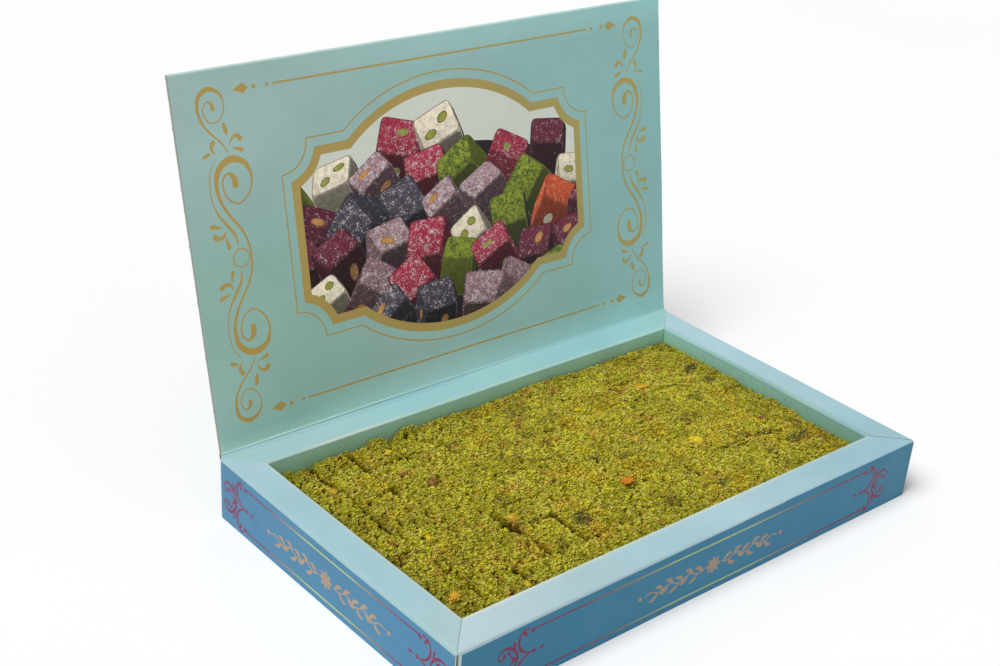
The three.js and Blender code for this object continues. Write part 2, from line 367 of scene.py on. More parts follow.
def draw_scroll_column(art, move, ink):
    """One column of scrolls, with its leaves, ring and the ornaments of the two lines beside it."""
    for mirrored in (False, True):

        def spot(u, v):
            return move(u, 2 * SCROLL_MIDDLE - v if mirrored else v)

        for knots in SCROLL_STROKES:
            art.stroke(placed(knots, spot), ink)
        for knots in SCROLL_LEAVES:
            art.stroke(placed(knots, spot), ink, step=0.5)
        tip, shoulder, back, half = LINE_DIAMOND
        v = LINE_TOP
        diamond = [(tip, v), (shoulder, v + half), (back, v), (shoulder, v - half)]
        art.area([spot(*p) for p in diamond], ink)
        for u, radius in LINE_DOTS:
            art.dot(*spot(u, v), radius, ink)
    place, radius, line = RING
    ring = [
        (place + radius * math.cos(a), SCROLL_MIDDLE + radius * math.sin(a), line)
        for a in np.linspace(0, 2 * math.pi, 9)
    ]
    art.stroke(placed(ring, move), ink, round_ends=False)


FRAME_MIDDLE = (147.4, 87.8)
FRAME_HALF = (96, 48.4)  # half width to the sides and half height to the steps
FRAME_LINE = 0.75  # width of the thin line
FRAME_NOTCH = 15  # radius of the notched corners
FRAME_BULGE = (84.6, 68.3)  # half axes of the ellipse above and below
BAND_OUTER, BAND_INNER = 4.6, 9  # the gold band, inward from the thin line


def frame_outline(inward):
    """Closed outline of the picture frame, moved inward by a distance."""
    half_u, half_v = FRAME_HALF[0] - inward, FRAME_HALF[1] - inward
    radius = FRAME_NOTCH + inward
    reach = math.asin(inward / radius)
    quarter = []
    for angle in np.linspace(reach, math.pi / 2 - reach, 10):
        quarter.append((FRAME_HALF[0] - radius * math.sin(angle), FRAME_HALF[1] - radius * math.cos(angle)))
    quarter.sort(key=lambda p: -p[0])
    bulge_u, bulge_v = (axis - inward for axis in FRAME_BULGE)
    for angle in np.linspace(math.asin(half_v / bulge_v), math.pi / 2, 24):
        quarter.append((bulge_u * math.cos(angle), bulge_v * math.sin(angle)))
    quarter = [(min(u, half_u), v) for u, v in quarter]
    first = quarter + [(-u, v) for u, v in quarter[-2::-1]]
    outline = first + [(-u, -v) for u, v in first]
    return [(FRAME_MIDDLE[0] + u, FRAME_MIDDLE[1] + v) for u, v in outline]


def draw_lid_inside(art):
    """Gold lines and scrolls, and a gold frame round a picture of assorted sweets."""
    # The gold fades from GOLD to GOLD_RIGHT across the lid: painted light, as on the lid's blue
    gold = Ink(GOLD, shade=lambda u, v: mix(GOLD, GOLD_RIGHT, share_of(u, 0, WIDTH)))
    draw_lines(art, gold)
    draw_scroll_columns(art, gold)
    thin = [(*p, FRAME_LINE) for p in frame_outline(0)]
    for a, b in zip(thin, [*thin[1:], thin[0]]):
        art.stroke([a, b], gold, step=50)
    art.area(frame_outline(BAND_OUTER), gold)
    window = art.area(frame_outline(BAND_INNER), Ink(PAPER))
    art.clip = window
    draw_assorted_sweets(art)
    art.clip = None


# ---- Picture of assorted sweets: a heap of dusted cubes, each turned its own way

SUGAR = linear(226, 214, 216)
CREAM = linear(222, 210, 184)
GREEN_DUST = linear(72, 96, 40)
# Body colour, colour of the dust and how much of a lit face it covers
KINDS = {
    "pistachio": (linear(146, 158, 50), GREEN_DUST, 0.4),
    "rose": (linear(168, 44, 72), SUGAR, 0.28),
    "plum": (linear(106, 40, 62), SUGAR, 0.2),
    "milk": (linear(232, 220, 196), linear(250, 244, 230), 0.3),
    "orange": (linear(222, 96, 56), linear(244, 190, 160), 0.26),
    "mauve": (linear(150, 112, 124), SUGAR, 0.36),
    "night": (linear(72, 68, 84), SUGAR, 0.26),
}
KIND_ORDER = [
    "rose", "mauve", "pistachio", "plum", "milk", "night", "rose", "pistachio", "mauve", "orange",
    "plum", "mauve", "night", "milk", "rose", "pistachio", "plum", "mauve",
]
CUBE = (22, 26)  # edge of a drawn cube, smallest and largest
CUBE_SHADOW = (1.5, 2.4)  # how far its shadow lies to the right and down
CUBE_FACE = 0.94  # how much of a face lies inside its worn edge
KERNEL = linear(146, 154, 66)
KERNEL_SKIN = linear(70, 50, 42)
ALMOND = linear(200, 142, 84)
SHADOW = linear(38, 30, 36)
PICTURE_LIGHT = Vector((-0.45, 0.72, 0.53))  # x to the right, y up and z out of the picture
FACES = [(axis, sign) for axis in range(3) for sign in (-1, 1)]


def rounded(corners, radius, steps=3):
    """A polygon with its corners rounded."""
    outline = []
    count = len(corners)
    for i in range(count):
        here = Vector(corners[i])
        before = (Vector(corners[i - 1]) - here).normalized()
        after = (Vector(corners[(i + 1) % count]) - here).normalized()
        bend = (here + before * radius, here, here + after * radius)
        outline += [tuple(pulled(bend, k / steps)) for k in range(steps + 1)]
    return outline


def hull(points):
    """Convex outline of points on a plane."""
    ordered = sorted(points)
    halves = []
    for sequence in (ordered, ordered[::-1]):
        chain = []
        for p in sequence:
            while len(chain) > 1:
                (ax, ay), (bx, by) = chain[-2:]
                if (bx - ax) * (p[1] - ay) - (by - ay) * (p[0] - ax) > 0:
                    break
                chain.pop()
            chain.append(p)
        halves += chain[:-1]
    return halves


def draw_cube(art, u, v, size, kind, draw):
    """One sweet lying in the heap, with its lit and shaded faces. v grows downwards."""
    colour, fleck, coverage = KINDS[kind]
    lie = Euler((draw.uniform(0.45, 0.95), draw.uniform(-0.3, 0.3), draw.uniform(-0.75, 0.75)))
    turned = Euler((0, 0, draw.uniform(-0.25, 0.25))).to_matrix() @ lie.to_matrix()
    edges = [size * Vector(turned.col[axis]) * draw.uniform(0.88, 1.06) for axis in range(3)]

    def spot(a, b, c):
        """A place on the cube, each value from -1 to 1, on the picture."""
        moved = (edges[0] * a + edges[1] * b + edges[2] * c) / 2
        return (u + moved.x, v - moved.y)

    corners = [spot(a, b, c) for a in (-1, 1) for b in (-1, 1) for c in (-1, 1)]
    silhouette = hull(corners)
    shadow = [(p + CUBE_SHADOW[0], q + CUBE_SHADOW[1]) for p, q in silhouette]
    art.area(rounded(shadow, size * 0.14), Ink(SHADOW, SHADOW, 0.05))
    rim = mix(colour, SHADOW, 0.55)
    art.area(rounded(silhouette, size * 0.13), Ink(rim, mix(fleck, SHADOW, 0.3), coverage))

    for axis, sign in FACES:
        normal = edges[axis].normalized() * sign
        if normal.z < 0.1:
            continue
        light = 0.2 + 1.05 * max(0, normal.dot(PICTURE_LIGHT))

        def on_face(p, q, axis=axis, sign=sign):
            values = [p, q]
            values.insert(axis, sign)
            return spot(*values)

        def shade(p, q, light=light):
            return times(colour, light * (1.15 - 0.6 * share_of(q, v - size / 2, v + size / 2)))

        square = [on_face(p * CUBE_FACE, q * CUBE_FACE) for p, q in SQUARE]
        dust = Ink(colour, times(fleck, min(1, light + 0.15)), coverage * (0.5 + 0.7 * light), shade)
        art.area(rounded(square, size * 0.1), dust)
        draw_filling(art, on_face, kind, light, draw)


# The nut in a face of a kind: its chance, how far off the middle it lies, its half length and half
# width, its colour, its dust and how much that covers
NUT_IN_FACE = {
    "mauve": (0.4, 0.35, 0.4, 0.24, ALMOND, CREAM, 0.2),
    "orange": (0.5, 0.3, 0.34, 0.22, CREAM, SUGAR, 0.3),
    "rose": (0.25, 0.3, 0.3, 0.2, KERNEL, SUGAR, 0.3),
}
NUT_IN_FACE["plum"] = NUT_IN_FACE["night"] = NUT_IN_FACE["mauve"]
KERNELS = ((-0.35, 0.2), (0.4, -0.3))  # places of the kernels in a milk cube's face
NUT_BODY = 0.84  # what a nut shows inside its skin


def draw_filling(art, on_face, kind, light, draw):
    """Nuts that show in a cut face, or a chip of them on a dusted one."""

    def nut(p, q, length, width, body, skin=None):
        turn = draw.uniform(0, math.pi)
        for scale, ink in ((1, skin), (NUT_BODY, body)) if skin else ((1, body),):
            outline = ellipse(p, q, length * scale, width * scale, turn, 10)
            art.area([on_face(*c) for c in outline], ink)

    def lit(colour):
        return times(colour, 0.35 + 0.75 * light)

    if kind == "milk" and light > 0.5:
        for p, q in KERNELS:
            p, q = p + draw.uniform(-0.12, 0.12), q + draw.uniform(-0.12, 0.12)
            nut(p, q, 0.32, 0.25, Ink(lit(KERNEL), CREAM, 0.15), Ink(lit(KERNEL_SKIN)))
    elif kind in NUT_IN_FACE and draw.random() < NUT_IN_FACE[kind][0]:
        _, off, length, width, colour, dust, cover = NUT_IN_FACE[kind]
        p, q = draw.uniform(-off, off), draw.uniform(-off, off)
        skin = Ink(mix(lit(colour), SHADOW, 0.5)) if colour == ALMOND else None
        nut(p, q, length, width, Ink(lit(colour), dust, cover), skin)


HEAP_ROWS = range(-3, 5)
HEAP_COLUMNS = range(-4, 5)
HEAP_PITCH = (27, 17.5)
HEAP_TOP, HEAP_FOOT = -46, 66  # the heap's upper edge over its middle, and its lowest row


def draw_assorted_sweets(art):
    """Cubes heaped over the whole frame, from the back to the front."""
    draw = np.random.default_rng(12)
    middle_u, middle_v = FRAME_MIDDLE
    art.area(ellipse(middle_u, middle_v + 22, 90, 54, 0, 40), Ink(SHADOW, linear(90, 70, 84), 0.1))
    number = 0
    for row in HEAP_ROWS:
        for column in HEAP_COLUMNS:
            u = middle_u + (column + (0.5 if row % 2 else 0)) * HEAP_PITCH[0] + draw.uniform(-3, 3)
            v = middle_v + row * HEAP_PITCH[1] + draw.uniform(-3, 3)
            kind = KIND_ORDER[(number * 7 + row * 3) % len(KIND_ORDER)]
            number += 1
            if HEAP_TOP + abs(u - middle_u) * 0.3 < v - middle_v < HEAP_FOOT:
                draw_cube(art, u, v, draw.uniform(*CUBE), kind, draw)


# ---- Ornament of the tray's walls. u runs from the wall's left end and v from the rim down.

WALL_LINES = (6, 29.4)
WALL_LINE_WIDTH = 0.9
LINE_BRIGHT = 0.13  # share of a line, to each side of its middle, that is all yellow
WALL_MIDDLE = 17.7
END_ORNAMENT = {
    "strokes": [
        [
            (39.2, 5.2, 0.7), (36.6, 4.4, 0.8), (34.4, 6.6, 1.0), (33.5, 10, 1.2), (34.9, 14.2, 1.2),
            (38, 16.8, 0.9), (41, 17.7, 0.5),
        ],
        [(34.4, 6.4, 0.3), (36, 5.9, 1.2), (37.2, 7.5, 1.3)],
        [
            (33.2, 17.7, 0.8), (31.8, 13.4, 1.3), (29.2, 10.9, 1.5), (26, 9.9, 1.2), (23.4, 11, 0.8),
            (22.7, 13.6, 0.7), (24.3, 15.4, 0.7), (26, 14.6, 0.9),
        ],
        [(30.2, 7.9, 0.4), (31.2, 9.8, 1.2), (31.6, 11.8, 0.6)],
        [(29.2, 14.9, 0.3), (31, 16.8, 1.3), (33.6, 17.7, 1.1)],
        [(26.8, 12.2, 0.3), (28.4, 13.2, 1.0), (29.4, 14.9, 0.4)],
    ],
    "dots": [(40.9, 6.6, 1.2), (25.8, 13.4, 1.0)],
    "middle_dots": [(42.2, 17.7, 1.15), (44.6, 17.7, 0.45)],
    "diamond": (46.9, 17.7, 1.1),
}
ORNAMENT_START = 22.7


def draw_end_ornament(art, shift, across):
    """The red scrolls at one end of a wall. across gives the place along the wall."""
    red = Ink(RED)
    for flip in (False, True):

        def spot(u, v):
            return (across(u + shift), 2 * WALL_MIDDLE - v if flip else v)

        for knots in END_ORNAMENT["strokes"]:
            bold = [(u, v, width * 1.2) for u, v, width in knots]
            art.stroke(placed(bold, spot), red, step=0.6)
        for u, v, radius in END_ORNAMENT["dots"]:
            art.dot(*spot(u, v), radius, red)
    for u, v, radius in END_ORNAMENT["middle_dots"]:
        art.dot(across(u + shift), v, radius, red)
    u, v, half = END_ORNAMENT["diamond"]
    corners = [(u - 1.5 * half, v), (u, v + half), (u + 1.5 * half, v), (u, v - half)]
    art.area([(across(p + shift), q) for p, q in corners], red)


PETALS_OUT = 2.9  # from the rosette's middle to the middle of a petal
STEM_START = 6
STEM_SWING = 1.1
LEAF_PITCH = 6.4
VINE_LEAF = ((0, 0, 0.4), (1.6, 2.0, 2.0), (3.9, 3.1, 1.5), (5.2, 2.9, 0.3))  # along, up and width


def draw_vine(art, middle, length):
    """A tan garland on the middle line: a rosette with a leafy stem running out on both sides."""
    tan = Ink(TAN)
    v = WALL_MIDDLE + 0.5
    for petal in range(8):
        angle = petal * math.pi / 4
        place = (middle + PETALS_OUT * math.cos(angle), v + PETALS_OUT * math.sin(angle))
        art.dot(*place, 1.9, tan, 0.5, angle)
    art.dot(middle, v, 1.15, tan)

    def stem_at(distance):
        return v + STEM_SWING * math.sin((distance - STEM_START) * math.pi / LEAF_PITCH)

    for side in (-1, 1):
        places = np.arange(STEM_START, length / 2 - 2, 2.0)
        art.stroke([(middle + side * d, stem_at(d), 0.75) for d in places], tan, step=1.2)
        for i in range(int((length / 2 - 10) / LEAF_PITCH)):
            root = 7.2 + i * LEAF_PITCH
            for up in (-1, 1):
                start = root + (0 if up < 0 else LEAF_PITCH / 2)
                base = stem_at(start)
                leaf = [
                    (middle + side * (start + along), base + up * rise, width)
                    for along, rise, width in VINE_LEAF
                ]
                art.stroke(leaf, tan, step=0.8)
        art.dot(middle + side * length / 2, v, 1.2, tan)


def draw_wall(art, ornament_at, lines, vine):
    """Lines that run from red through yellow, scrolls at both ends and the garland between them."""
    middle = (lines[0] + lines[1]) / 2
    bright = (lines[1] - lines[0]) * LINE_BRIGHT

    def line_colour(u, v):
        fade = (abs(u - middle) - bright) / (lines[1] - middle - bright)
        return mix(YELLOW, RED, min(1, max(0, fade) ** 0.6 * 1.25))

    ink = Ink(RED, shade=line_colour)
    for v in WALL_LINES:
        art.stroke([(lines[0], v, WALL_LINE_WIDTH), (lines[1], v, WALL_LINE_WIDTH)], ink, step=6)
    shift = ornament_at - ORNAMENT_START
    draw_end_ornament(art, shift, lambda u: u)
    draw_end_ornament(art, shift, lambda u: 2 * middle - u)
    if vine:
        draw_vine(art, (vine[0] + vine[1]) / 2, vine[1] - vine[0])


# ---- Card pieces

SAME_POINT = 3e-6  # metres


class Card:
    """A piece of printed board in the making: faces with an ink at every corner."""

    PRINTED, RAW, PICTURE = range(3)

    def __init__(self):
        self.points = []
        self.index = {}
        self.faces = []
        self.kinds = []
        self.inks = []
        self.flecks = []

    def corner(self, point):
        """Number of a point. Points closer than a hundredth of a millimetre are one."""
        key = tuple(round(c * 200) for c in point)
        if key not in self.index:
            self.index[key] = len(self.points)
            self.points.append(tuple(point))
        return self.index[key]

    def face(self, points, colours, kind=PRINTED, fleck=(1, 1, 1, 0)):
        corners = [self.corner(p) for p in points]
        kept = [i for i in range(len(corners)) if corners[i] != corners[i - 1]]
        if len({corners[i] for i in kept}) < 3:
            return
        self.faces.append([corners[i] for i in kept])
        self.kinds.append(kind)
        for i in kept:
            self.inks.append((*colours[i], 1))
            self.flecks.append(fleck)

    def plain(self, points, colour, kind=PRINTED):
        self.face(points, [colour] * len(points), kind)

    def printed(self, art, place):
        """Lays artwork on the piece. place gives the point for (u, v)."""
        for corners, ink in art.triangles():
            colours = [ink.at(p.x, p.y) for p in corners]
            kind = self.PICTURE if ink.coverage else self.PRINTED
            self.face([place(p.x, p.y) for p in corners], colours, kind, (*ink.fleck, ink.coverage))

    def build(self, name, body, node, bow):
        """The finished piece. bow moves every point a little, as board is never quite flat."""
        mesh = bpy.data.meshes.new(name)
        moved = [bow(Vector(p)) * MM for p in self.points]
        mesh.from_pydata(moved, [], self.faces)
        for label, values in (("ink", self.inks), ("fleck", self.flecks)):
            layer = mesh.attributes.new(label, "FLOAT_COLOR", "CORNER")
            layer.data.foreach_set("color", np.array(values, np.float32).ravel())
        mesh.polygons.foreach_set("material_index", self.kinds)
        for material in (PRINTED_CARD, RAW_CARD, PICTURE_CARD):
            mesh.materials.append(material)
        mesh.polygons.foreach_set("use_smooth", [True] * len(self.faces))
        close_up(mesh)
        mesh.set_sharp_from_angle(angle=math.radians(4))
        piece = added(name, mesh)
        if node:
            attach(piece, body)
            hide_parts(node)
        return piece


def close_up(mesh):
    """Joins the points of a mesh that coincide, and makes its faces all look outwards."""
    work = bmesh.new()
    work.from_mesh(mesh)
    bmesh.ops.remove_doubles(work, verts=work.verts, dist=SAME_POINT)
    bmesh.ops.recalc_face_normals(work, faces=work.faces)
    work.to_mesh(mesh)
    work.free()
    mesh.update()


def steps_between(low, high, spacing, extra=()):
    """Even stations from low to high, with some places added."""
    count = max(1, round((high - low) / spacing))
    even = [low + (high - low) * i / count for i in range(count + 1)]
    kept = [s for s in even if all(abs(s - e) > spacing / 3 for e in extra)]
    ends = [e for e in (low, high) if e not in kept]
    return sorted({*kept, *extra, *ends})


def arc(x, y, radius, start, end, steps):
    """Points on an arc, by angles in degrees."""
    angles = np.radians(np.linspace(start, end, steps + 1))
    return [(x + radius * math.cos(a), y + radius * math.sin(a)) for a in angles]


BOW_SCALE = 1 / 70
BOW_SHIFTS = (Vector((3.1, 0.4, 7.7)), Vector((12.4, 9.6, 1.3)), Vector((7.2, 15.8, 4.9)))
BOW_REACH = (0.25, 0.25, 0.22)


def wall_bow(point):
    """Slight unevenness of the tray, in millimetres. Its foot stays flat on the table."""
    drift = [r * noise.noise(point * BOW_SCALE + shift) for r, shift in zip(BOW_REACH, BOW_SHIFTS)]
    drift[2] *= min(1, point.z / 6)
    return point + Vector(drift)


# Widths of the strips of bare and pale board on a wall's outer face: from its left end inwards, and
# from its right end inwards
END_STRIPS = {
    "wall_front": ([(1.0, "raw"), (1.6, "pale")], [(0.5, "raw")]),
    "wall_right": ([(0.35, "pale")], [(0.35, "pale")]),
    "wall_back": ([(0.5, "pale")], [(0.5, "pale")]),
    "wall_left": ([(0.4, "pale")], [(0.4, "pale"), (0.5, "raw")]),
}
STRIP_INKS = {"raw": linear(118, 114, 98), "pale": mix(CYAN, PAPER, 0.35)}
FOLD_STEPS = 8
RIM_ROWS = (4.6, 3.6, 2.7, 1.9)  # rows of points near a rim's inner edge, in from it
LEFT_RIM = RIM - 1.05  # the left rim is folded a little narrower
# How far down the outside the rim's pale blue runs, by (place along the wall, depth)
PALE_DOWN = {
    "wall_front": ((-135, 2.15), (-110, 1.8), (-60, 1.5), (-30, 1.5), (0, 1.3), (35, 0.9), (90, 0.7)),
    "wall_left": ((-85, 1.3), (-30, 1.75), (0, 2.05), (85, 2.15)),
}
PALE_ELSEWHERE = ((0, 0.4),)
PALE_SHADE = {"wall_left": (0.83, 0.87, 0.82)}  # how that blue is shaded past the outer fold
# Painted light and shade on a rim's blue: what is left of the blue, by place along the wall
RIM_PAINTED_LIGHT = {
    "wall_front": (
        (-135, (1.24, 1.05, 1.03)), (-85, (1.06, 0.97, 0.95)), (-20, (1.0, 0.97, 0.98)),
        (35, (1.07, 1.0, 1.0)), (75, (0.94, 0.94, 0.96)), (115, (0.86, 0.9, 0.93)),
    ),
    "wall_right": (
        (-80, (0.87, 0.89, 0.9)), (-50, (0.93, 0.94, 0.95)), (-25, (1.01, 0.98, 0.99)),
        (15, (1.0, 0.98, 0.98)), (50, (1.13, 1.07, 1.06)), (80, (1.04, 1.0, 0.99)),
    ),
    "wall_back": (
        (-130, (1.0, 1.0, 1.0)), (-85, (0.9, 0.95, 0.97)), (-25, (1.02, 0.99, 1.0)),
        (50, (0.97, 0.97, 0.99)), (100, (1.11, 0.98, 0.99)),
    ),
    "wall_left": (
        (-80, (1.02, 0.98, 1.0)), (-50, (0.93, 0.92, 0.95)), (0, (0.98, 0.98, 1.0)),
        (55, (0.96, 0.96, 0.97)), (80, (1.05, 0.98, 0.94)),
    ),
}
# The same for a rim's inner fold: painted highlight along the front, left and back folds, and painted
# shade along the right one. Then where the change is strongest, measured round the fold from its
# middle, and its reach before and after that.
FOLD_PAINTED_LIGHT = {
    "wall_front": (((0, (1.4, 1.15, 0.95)),), -0.7, 2.6, 1.5),
    "wall_left": (((0, (1.3, 1.1, 0.88)),), -1, 1.6, 1.3),
    "wall_right": (
        ((-70, (0.72, 0.8, 0.74)), (-35, (0.8, 0.83, 0.62)), (-10, (0.6, 0.7, 0.56)), (45, (0.6, 0.7, 0.57)),
         (66, (0.72, 0.84, 0.78))), 0.2, 3.8, 2.2,
    ),
    "wall_back": (
        ((-90, (1.26, 1.2, 1.05)), (0, (1.32, 1.15, 0.99)), (60, (1.36, 1.15, 0.98)), (88, (1.72, 1.22, 1.1)),
         (112, (1.72, 1.22, 1.08)), (126, (1.2, 1.05, 0.95))), -0.2, 2.2, 1.5,
    ),
}
DUST_AND_LIGHT_HEIGHTS = (30.4, 28.8, 26.5, 22)  # heights on the inner faces between which the dust and the painted light change towards the foot
# What the dust and painted light and shade leave of the blue at the top and at the foot of an inner
# face: the back wall painted lighter and the others darker, all greener at the foot with dust and the
# painted light thrown up from the bed
DUST_AND_PAINTED_LIGHT = {
    "wall_back": ((1.55, 1.6, 1.4), (1.25, 1.28, 0.8)),
    "wall_right": ((0.75, 0.88, 0.75), (0.61, 0.75, 0.4)),
}
DUST_AND_PAINTED_LIGHT_ELSEWHERE = ((0.7, 0.8, 0.62), (0.58, 0.74, 0.36))


def dusted_and_painted_light(colour, height, wall):
    """An inner face's blue, under the pistachio dust that clings to it and the painted light and shade on it.
    """
    share = share_of(height, HEIGHT - FOLD, DUST_AND_LIGHT_HEIGHTS[-1])
    return times(colour, mix(*DUST_AND_PAINTED_LIGHT.get(wall, DUST_AND_PAINTED_LIGHT_ELSEWHERE), share))


RIGHT_NEARER_BACK = 0.34  # how much the right wall's inside is painted lighter towards the back, over its length
WORN_END = mix(CYAN, PAPER, 0.2)


def eased(share):
    """A share from 0 to 1 with its ends eased."""
    return share * share * (3 - 2 * share)


def rim_blue(wall, along, run):
    """A rim's pale blue, with painted light and shade along the rim and at its inner fold. run is the
    distance past the middle of its inner fold, and below 0 before it.
    """
    colour = CYAN_BACK if wall == "wall_back" else CYAN
    level = share_of(run, 1.2, 0)
    stops, middle, before, after = FOLD_PAINTED_LIGHT[wall]
    near = eased(max(0, 1 - abs(run - middle) / (before if run < middle else after)))
    return times(times(colour, between(RIM_PAINTED_LIGHT[wall], along), level), between(stops, along), near)


# Half the gap at the mitre of two walls, and the colour of the board's ends there: painted shade for
# the crack, darkest at the front right and light where the crack shows little
MITRES = {
    "front_left": (0.13, linear(150, 160, 150)),
    "front_right": (0.32, linear(58, 66, 62)),
    "back_right": (0.13, linear(118, 158, 156)),
    "back_left": (0.08, linear(150, 176, 172)),
}
WALL_ENDS = {
    "wall_front": ("front_left", "front_right"),
    "wall_right": ("front_right", "back_right"),
    "wall_back": ("back_right", "back_left"),
    "wall_left": ("back_left", "front_left"),
}
# Length, rim and the rims of the walls before and after it. Then its print: where the ornament starts,
# and the ends of the lines and of the garland.
WALLS = {
    "wall_front": (WIDTH, RIM, LEFT_RIM, RIM, (ORNAMENT_START, (41, 262), (105, 199.4))),
    "wall_right": (DEPTH, RIM, RIM, BACK_RIM, (5.6, (24, 156), (43, 137))),
    "wall_back": (WIDTH, BACK_RIM, RIM, LEFT_RIM, (ORNAMENT_START, (40, 260), None)),
    "wall_left": (DEPTH, LEFT_RIM, BACK_RIM, RIM, (3.6, (22, 156), (42, 135))),
}


def make_wall(name, quarter_turns):
    """One folded wall, swept along its length, with its printed outer face and mitred ends.

    Its own frame has x along the wall as seen from outside, y inwards and z up.
    """
    card = Card()
    length, rim, before, after, printed = WALLS[name]
    away = (WIDTH + DEPTH - length) / 2
    (left_gap, left_ink), (right_gap, right_ink) = (MITRES[corner] for corner in WALL_ENDS[name])
    left, right = left_gap - length / 2, length / 2 - right_gap
    strips, plain_ends = [], []
    for start, way, widths in zip((left, right), (1, -1), END_STRIPS[name]):
        for width, kind in widths:
            strips.append((start, start + way * width, kind))
            start += way * width
        plain_ends.append(start)
    stations = steps_between(left, right, 5, [end for _, end, _ in strips])

    outer_fold = arc(FOLD, HEIGHT - FOLD, FOLD, 180, 90, FOLD_STEPS)
    rim_rows = [*np.linspace(FOLD, rim - RIM_ROWS[0], 4)[1:], *(rim - row for row in RIM_ROWS[1:])]
    inner_fold = arc(rim - FOLD, HEIGHT - FOLD, FOLD, 90, 0, FOLD_STEPS)
    inside = [(rim, z) for z in (*DUST_AND_LIGHT_HEIGHTS, 12, INNER_FOOT)]
    section = [*outer_fold, *((x, HEIGHT) for x in rim_rows), *inner_fold]
    fold_end = len(section)
    section += inside
    first_raw = len(section) - 1
    section += [(rim - BOARD, z) for z in (INNER_FOOT, HEIGHT - BOARD)]
    section += [(BOARD, HEIGHT - BOARD), (BOARD, 0), (0, 0)]

    turned = Matrix.Rotation(quarter_turns * math.pi / 2, 3, "Z")
    pale_shade = PALE_SHADE.get(name, (1, 1, 1))
    blue = WALL_BLUES.get(name, BLUE)

    def place_on(x, inwards, z):
        """A place on the wall, drawn in towards the mitres with depth."""
        end, neighbour = (left, before) if x < 0 else (right, after)
        along = x * (1 - inwards * neighbour / rim / abs(end))
        return turned @ Vector((along, inwards - away, z))

    def pale_down(x):
        return np.interp(x, *zip(*PALE_DOWN.get(name, PALE_ELSEWHERE)))

    def top_ink(x, k):
        rim_ink = rim_blue(name, x, section[k][0] - rim + HEIGHT - section[k][1])
        over = share_of(section[k][0], FOLD * 0.9, FOLD * 0.4)
        return times(rim_ink, pale_shade, over)

    # Inner faces: dust with painted light and shade, the right one painted lighter towards the back
    def inner_ink(x, k):
        nearer_back = RIGHT_NEARER_BACK * x / length if name == "wall_right" else 0
        return times(dusted_and_painted_light(top_ink(x, k), section[k][1], name), 1 + nearer_back)

    for i in range(len(section) - 1):
        height = (section[i][1] + section[i + 1][1]) / 2
        for a, b in zip(stations, stations[1:]):
            places = ((a, i), (b, i), (b, i + 1), (a, i + 1))
            corners = [place_on(x, *section[k]) for x, k in places]
            if i >= first_raw:
                card.plain(corners, RAW_BOARD, Card.RAW)
            elif i < FOLD_STEPS and height < HEIGHT - pale_down((a + b) / 2):
                at_strip = a < plain_ends[0] or b > plain_ends[1]
                card.plain(corners, STRIP_INKS["pale"] if at_strip else blue)
            elif i < fold_end and (a == left or b == right):
                card.plain(corners, WORN_END)
            else:
                ink = top_ink if i < fold_end - 1 else inner_ink
                card.face(corners, [ink(*place) for place in places])
    # End faces at the mitres, in the crack's painted shade
    for end, ink in ((left, left_ink), (right, right_ink)):
        pale_foot = [(0, HEIGHT - pale_down(end))] if pale_down(end) > FOLD else []
        card.plain([place_on(end, *p) for p in (*section, *pale_foot)], ink)

    # Outer face: u from the left end as seen from outside, v down from the top of the rim
    def across_face(places, top, foot):
        return [(length / 2 + x, foot) for x in places] + [(length / 2 + x, top) for x in reversed(places)]

    art = Artwork(across_face(stations, FOLD, HEIGHT), Ink(blue), 6)
    draw_wall(art, *printed)
    pale = [(length / 2 + x, max(pale_down(x), FOLD)) for x in stations if pale_down(x) > FOLD - 0.15]
    if pale:
        corners = [(pale[0][0], 0), *pale, (pale[-1][0], 0)]
        art.area(corners[::-1], Ink(times(CYAN, pale_shade)))
    for start, end, kind in strips:
        art.area(across_face(sorted((start, end)), FOLD, HEIGHT), Ink(STRIP_INKS[kind]))
    card.printed(art, lambda u, v: place_on(u - length / 2, 0, HEIGHT - v))
    card.build(f"{name}_card", "tray", name, wall_bow)


NICKS = [24.5, 51.5, 78, 104.5, 131, 157.5]  # where the die left a nick in the lid's side, down it
NICK_WIDTH = 0.9
NICK_REACH = 0.5


def lid_point(across, up, behind):
    """A place on the lid: across from its middle, up from the crease and behind its inner face."""
    spot = CREASE + UP_LID * up + BEHIND_LID * behind
    return Vector((across, spot.y, spot.z))


# The lid is cut a little narrower at its foot, by (at the foot, at the free edge) on each side
LEFT_IN = (1.3, 0.1)
RIGHT_IN = (1.9, -1.3)
TOP_IN = (0.8, 0.3)  # how much shorter it is at the left and at the right
LID_WARP, LID_BACK = 0.5, 0.2  # how far its face swings to and fro, and how far it lies back
TOP_RIPPLE, SIDE_RIPPLE = 0.16, 0.12


def drawn_in(across, up):
    """How far a place on the lid is shifted across by the cut of its sides."""
    reach = part_way(RIGHT_IN if across > 0 else LEFT_IN, up / LID_LENGTH)
    return -math.copysign(1, across) * reach * share_of(abs(across), WIDTH / 2 - 9, WIDTH / 2)


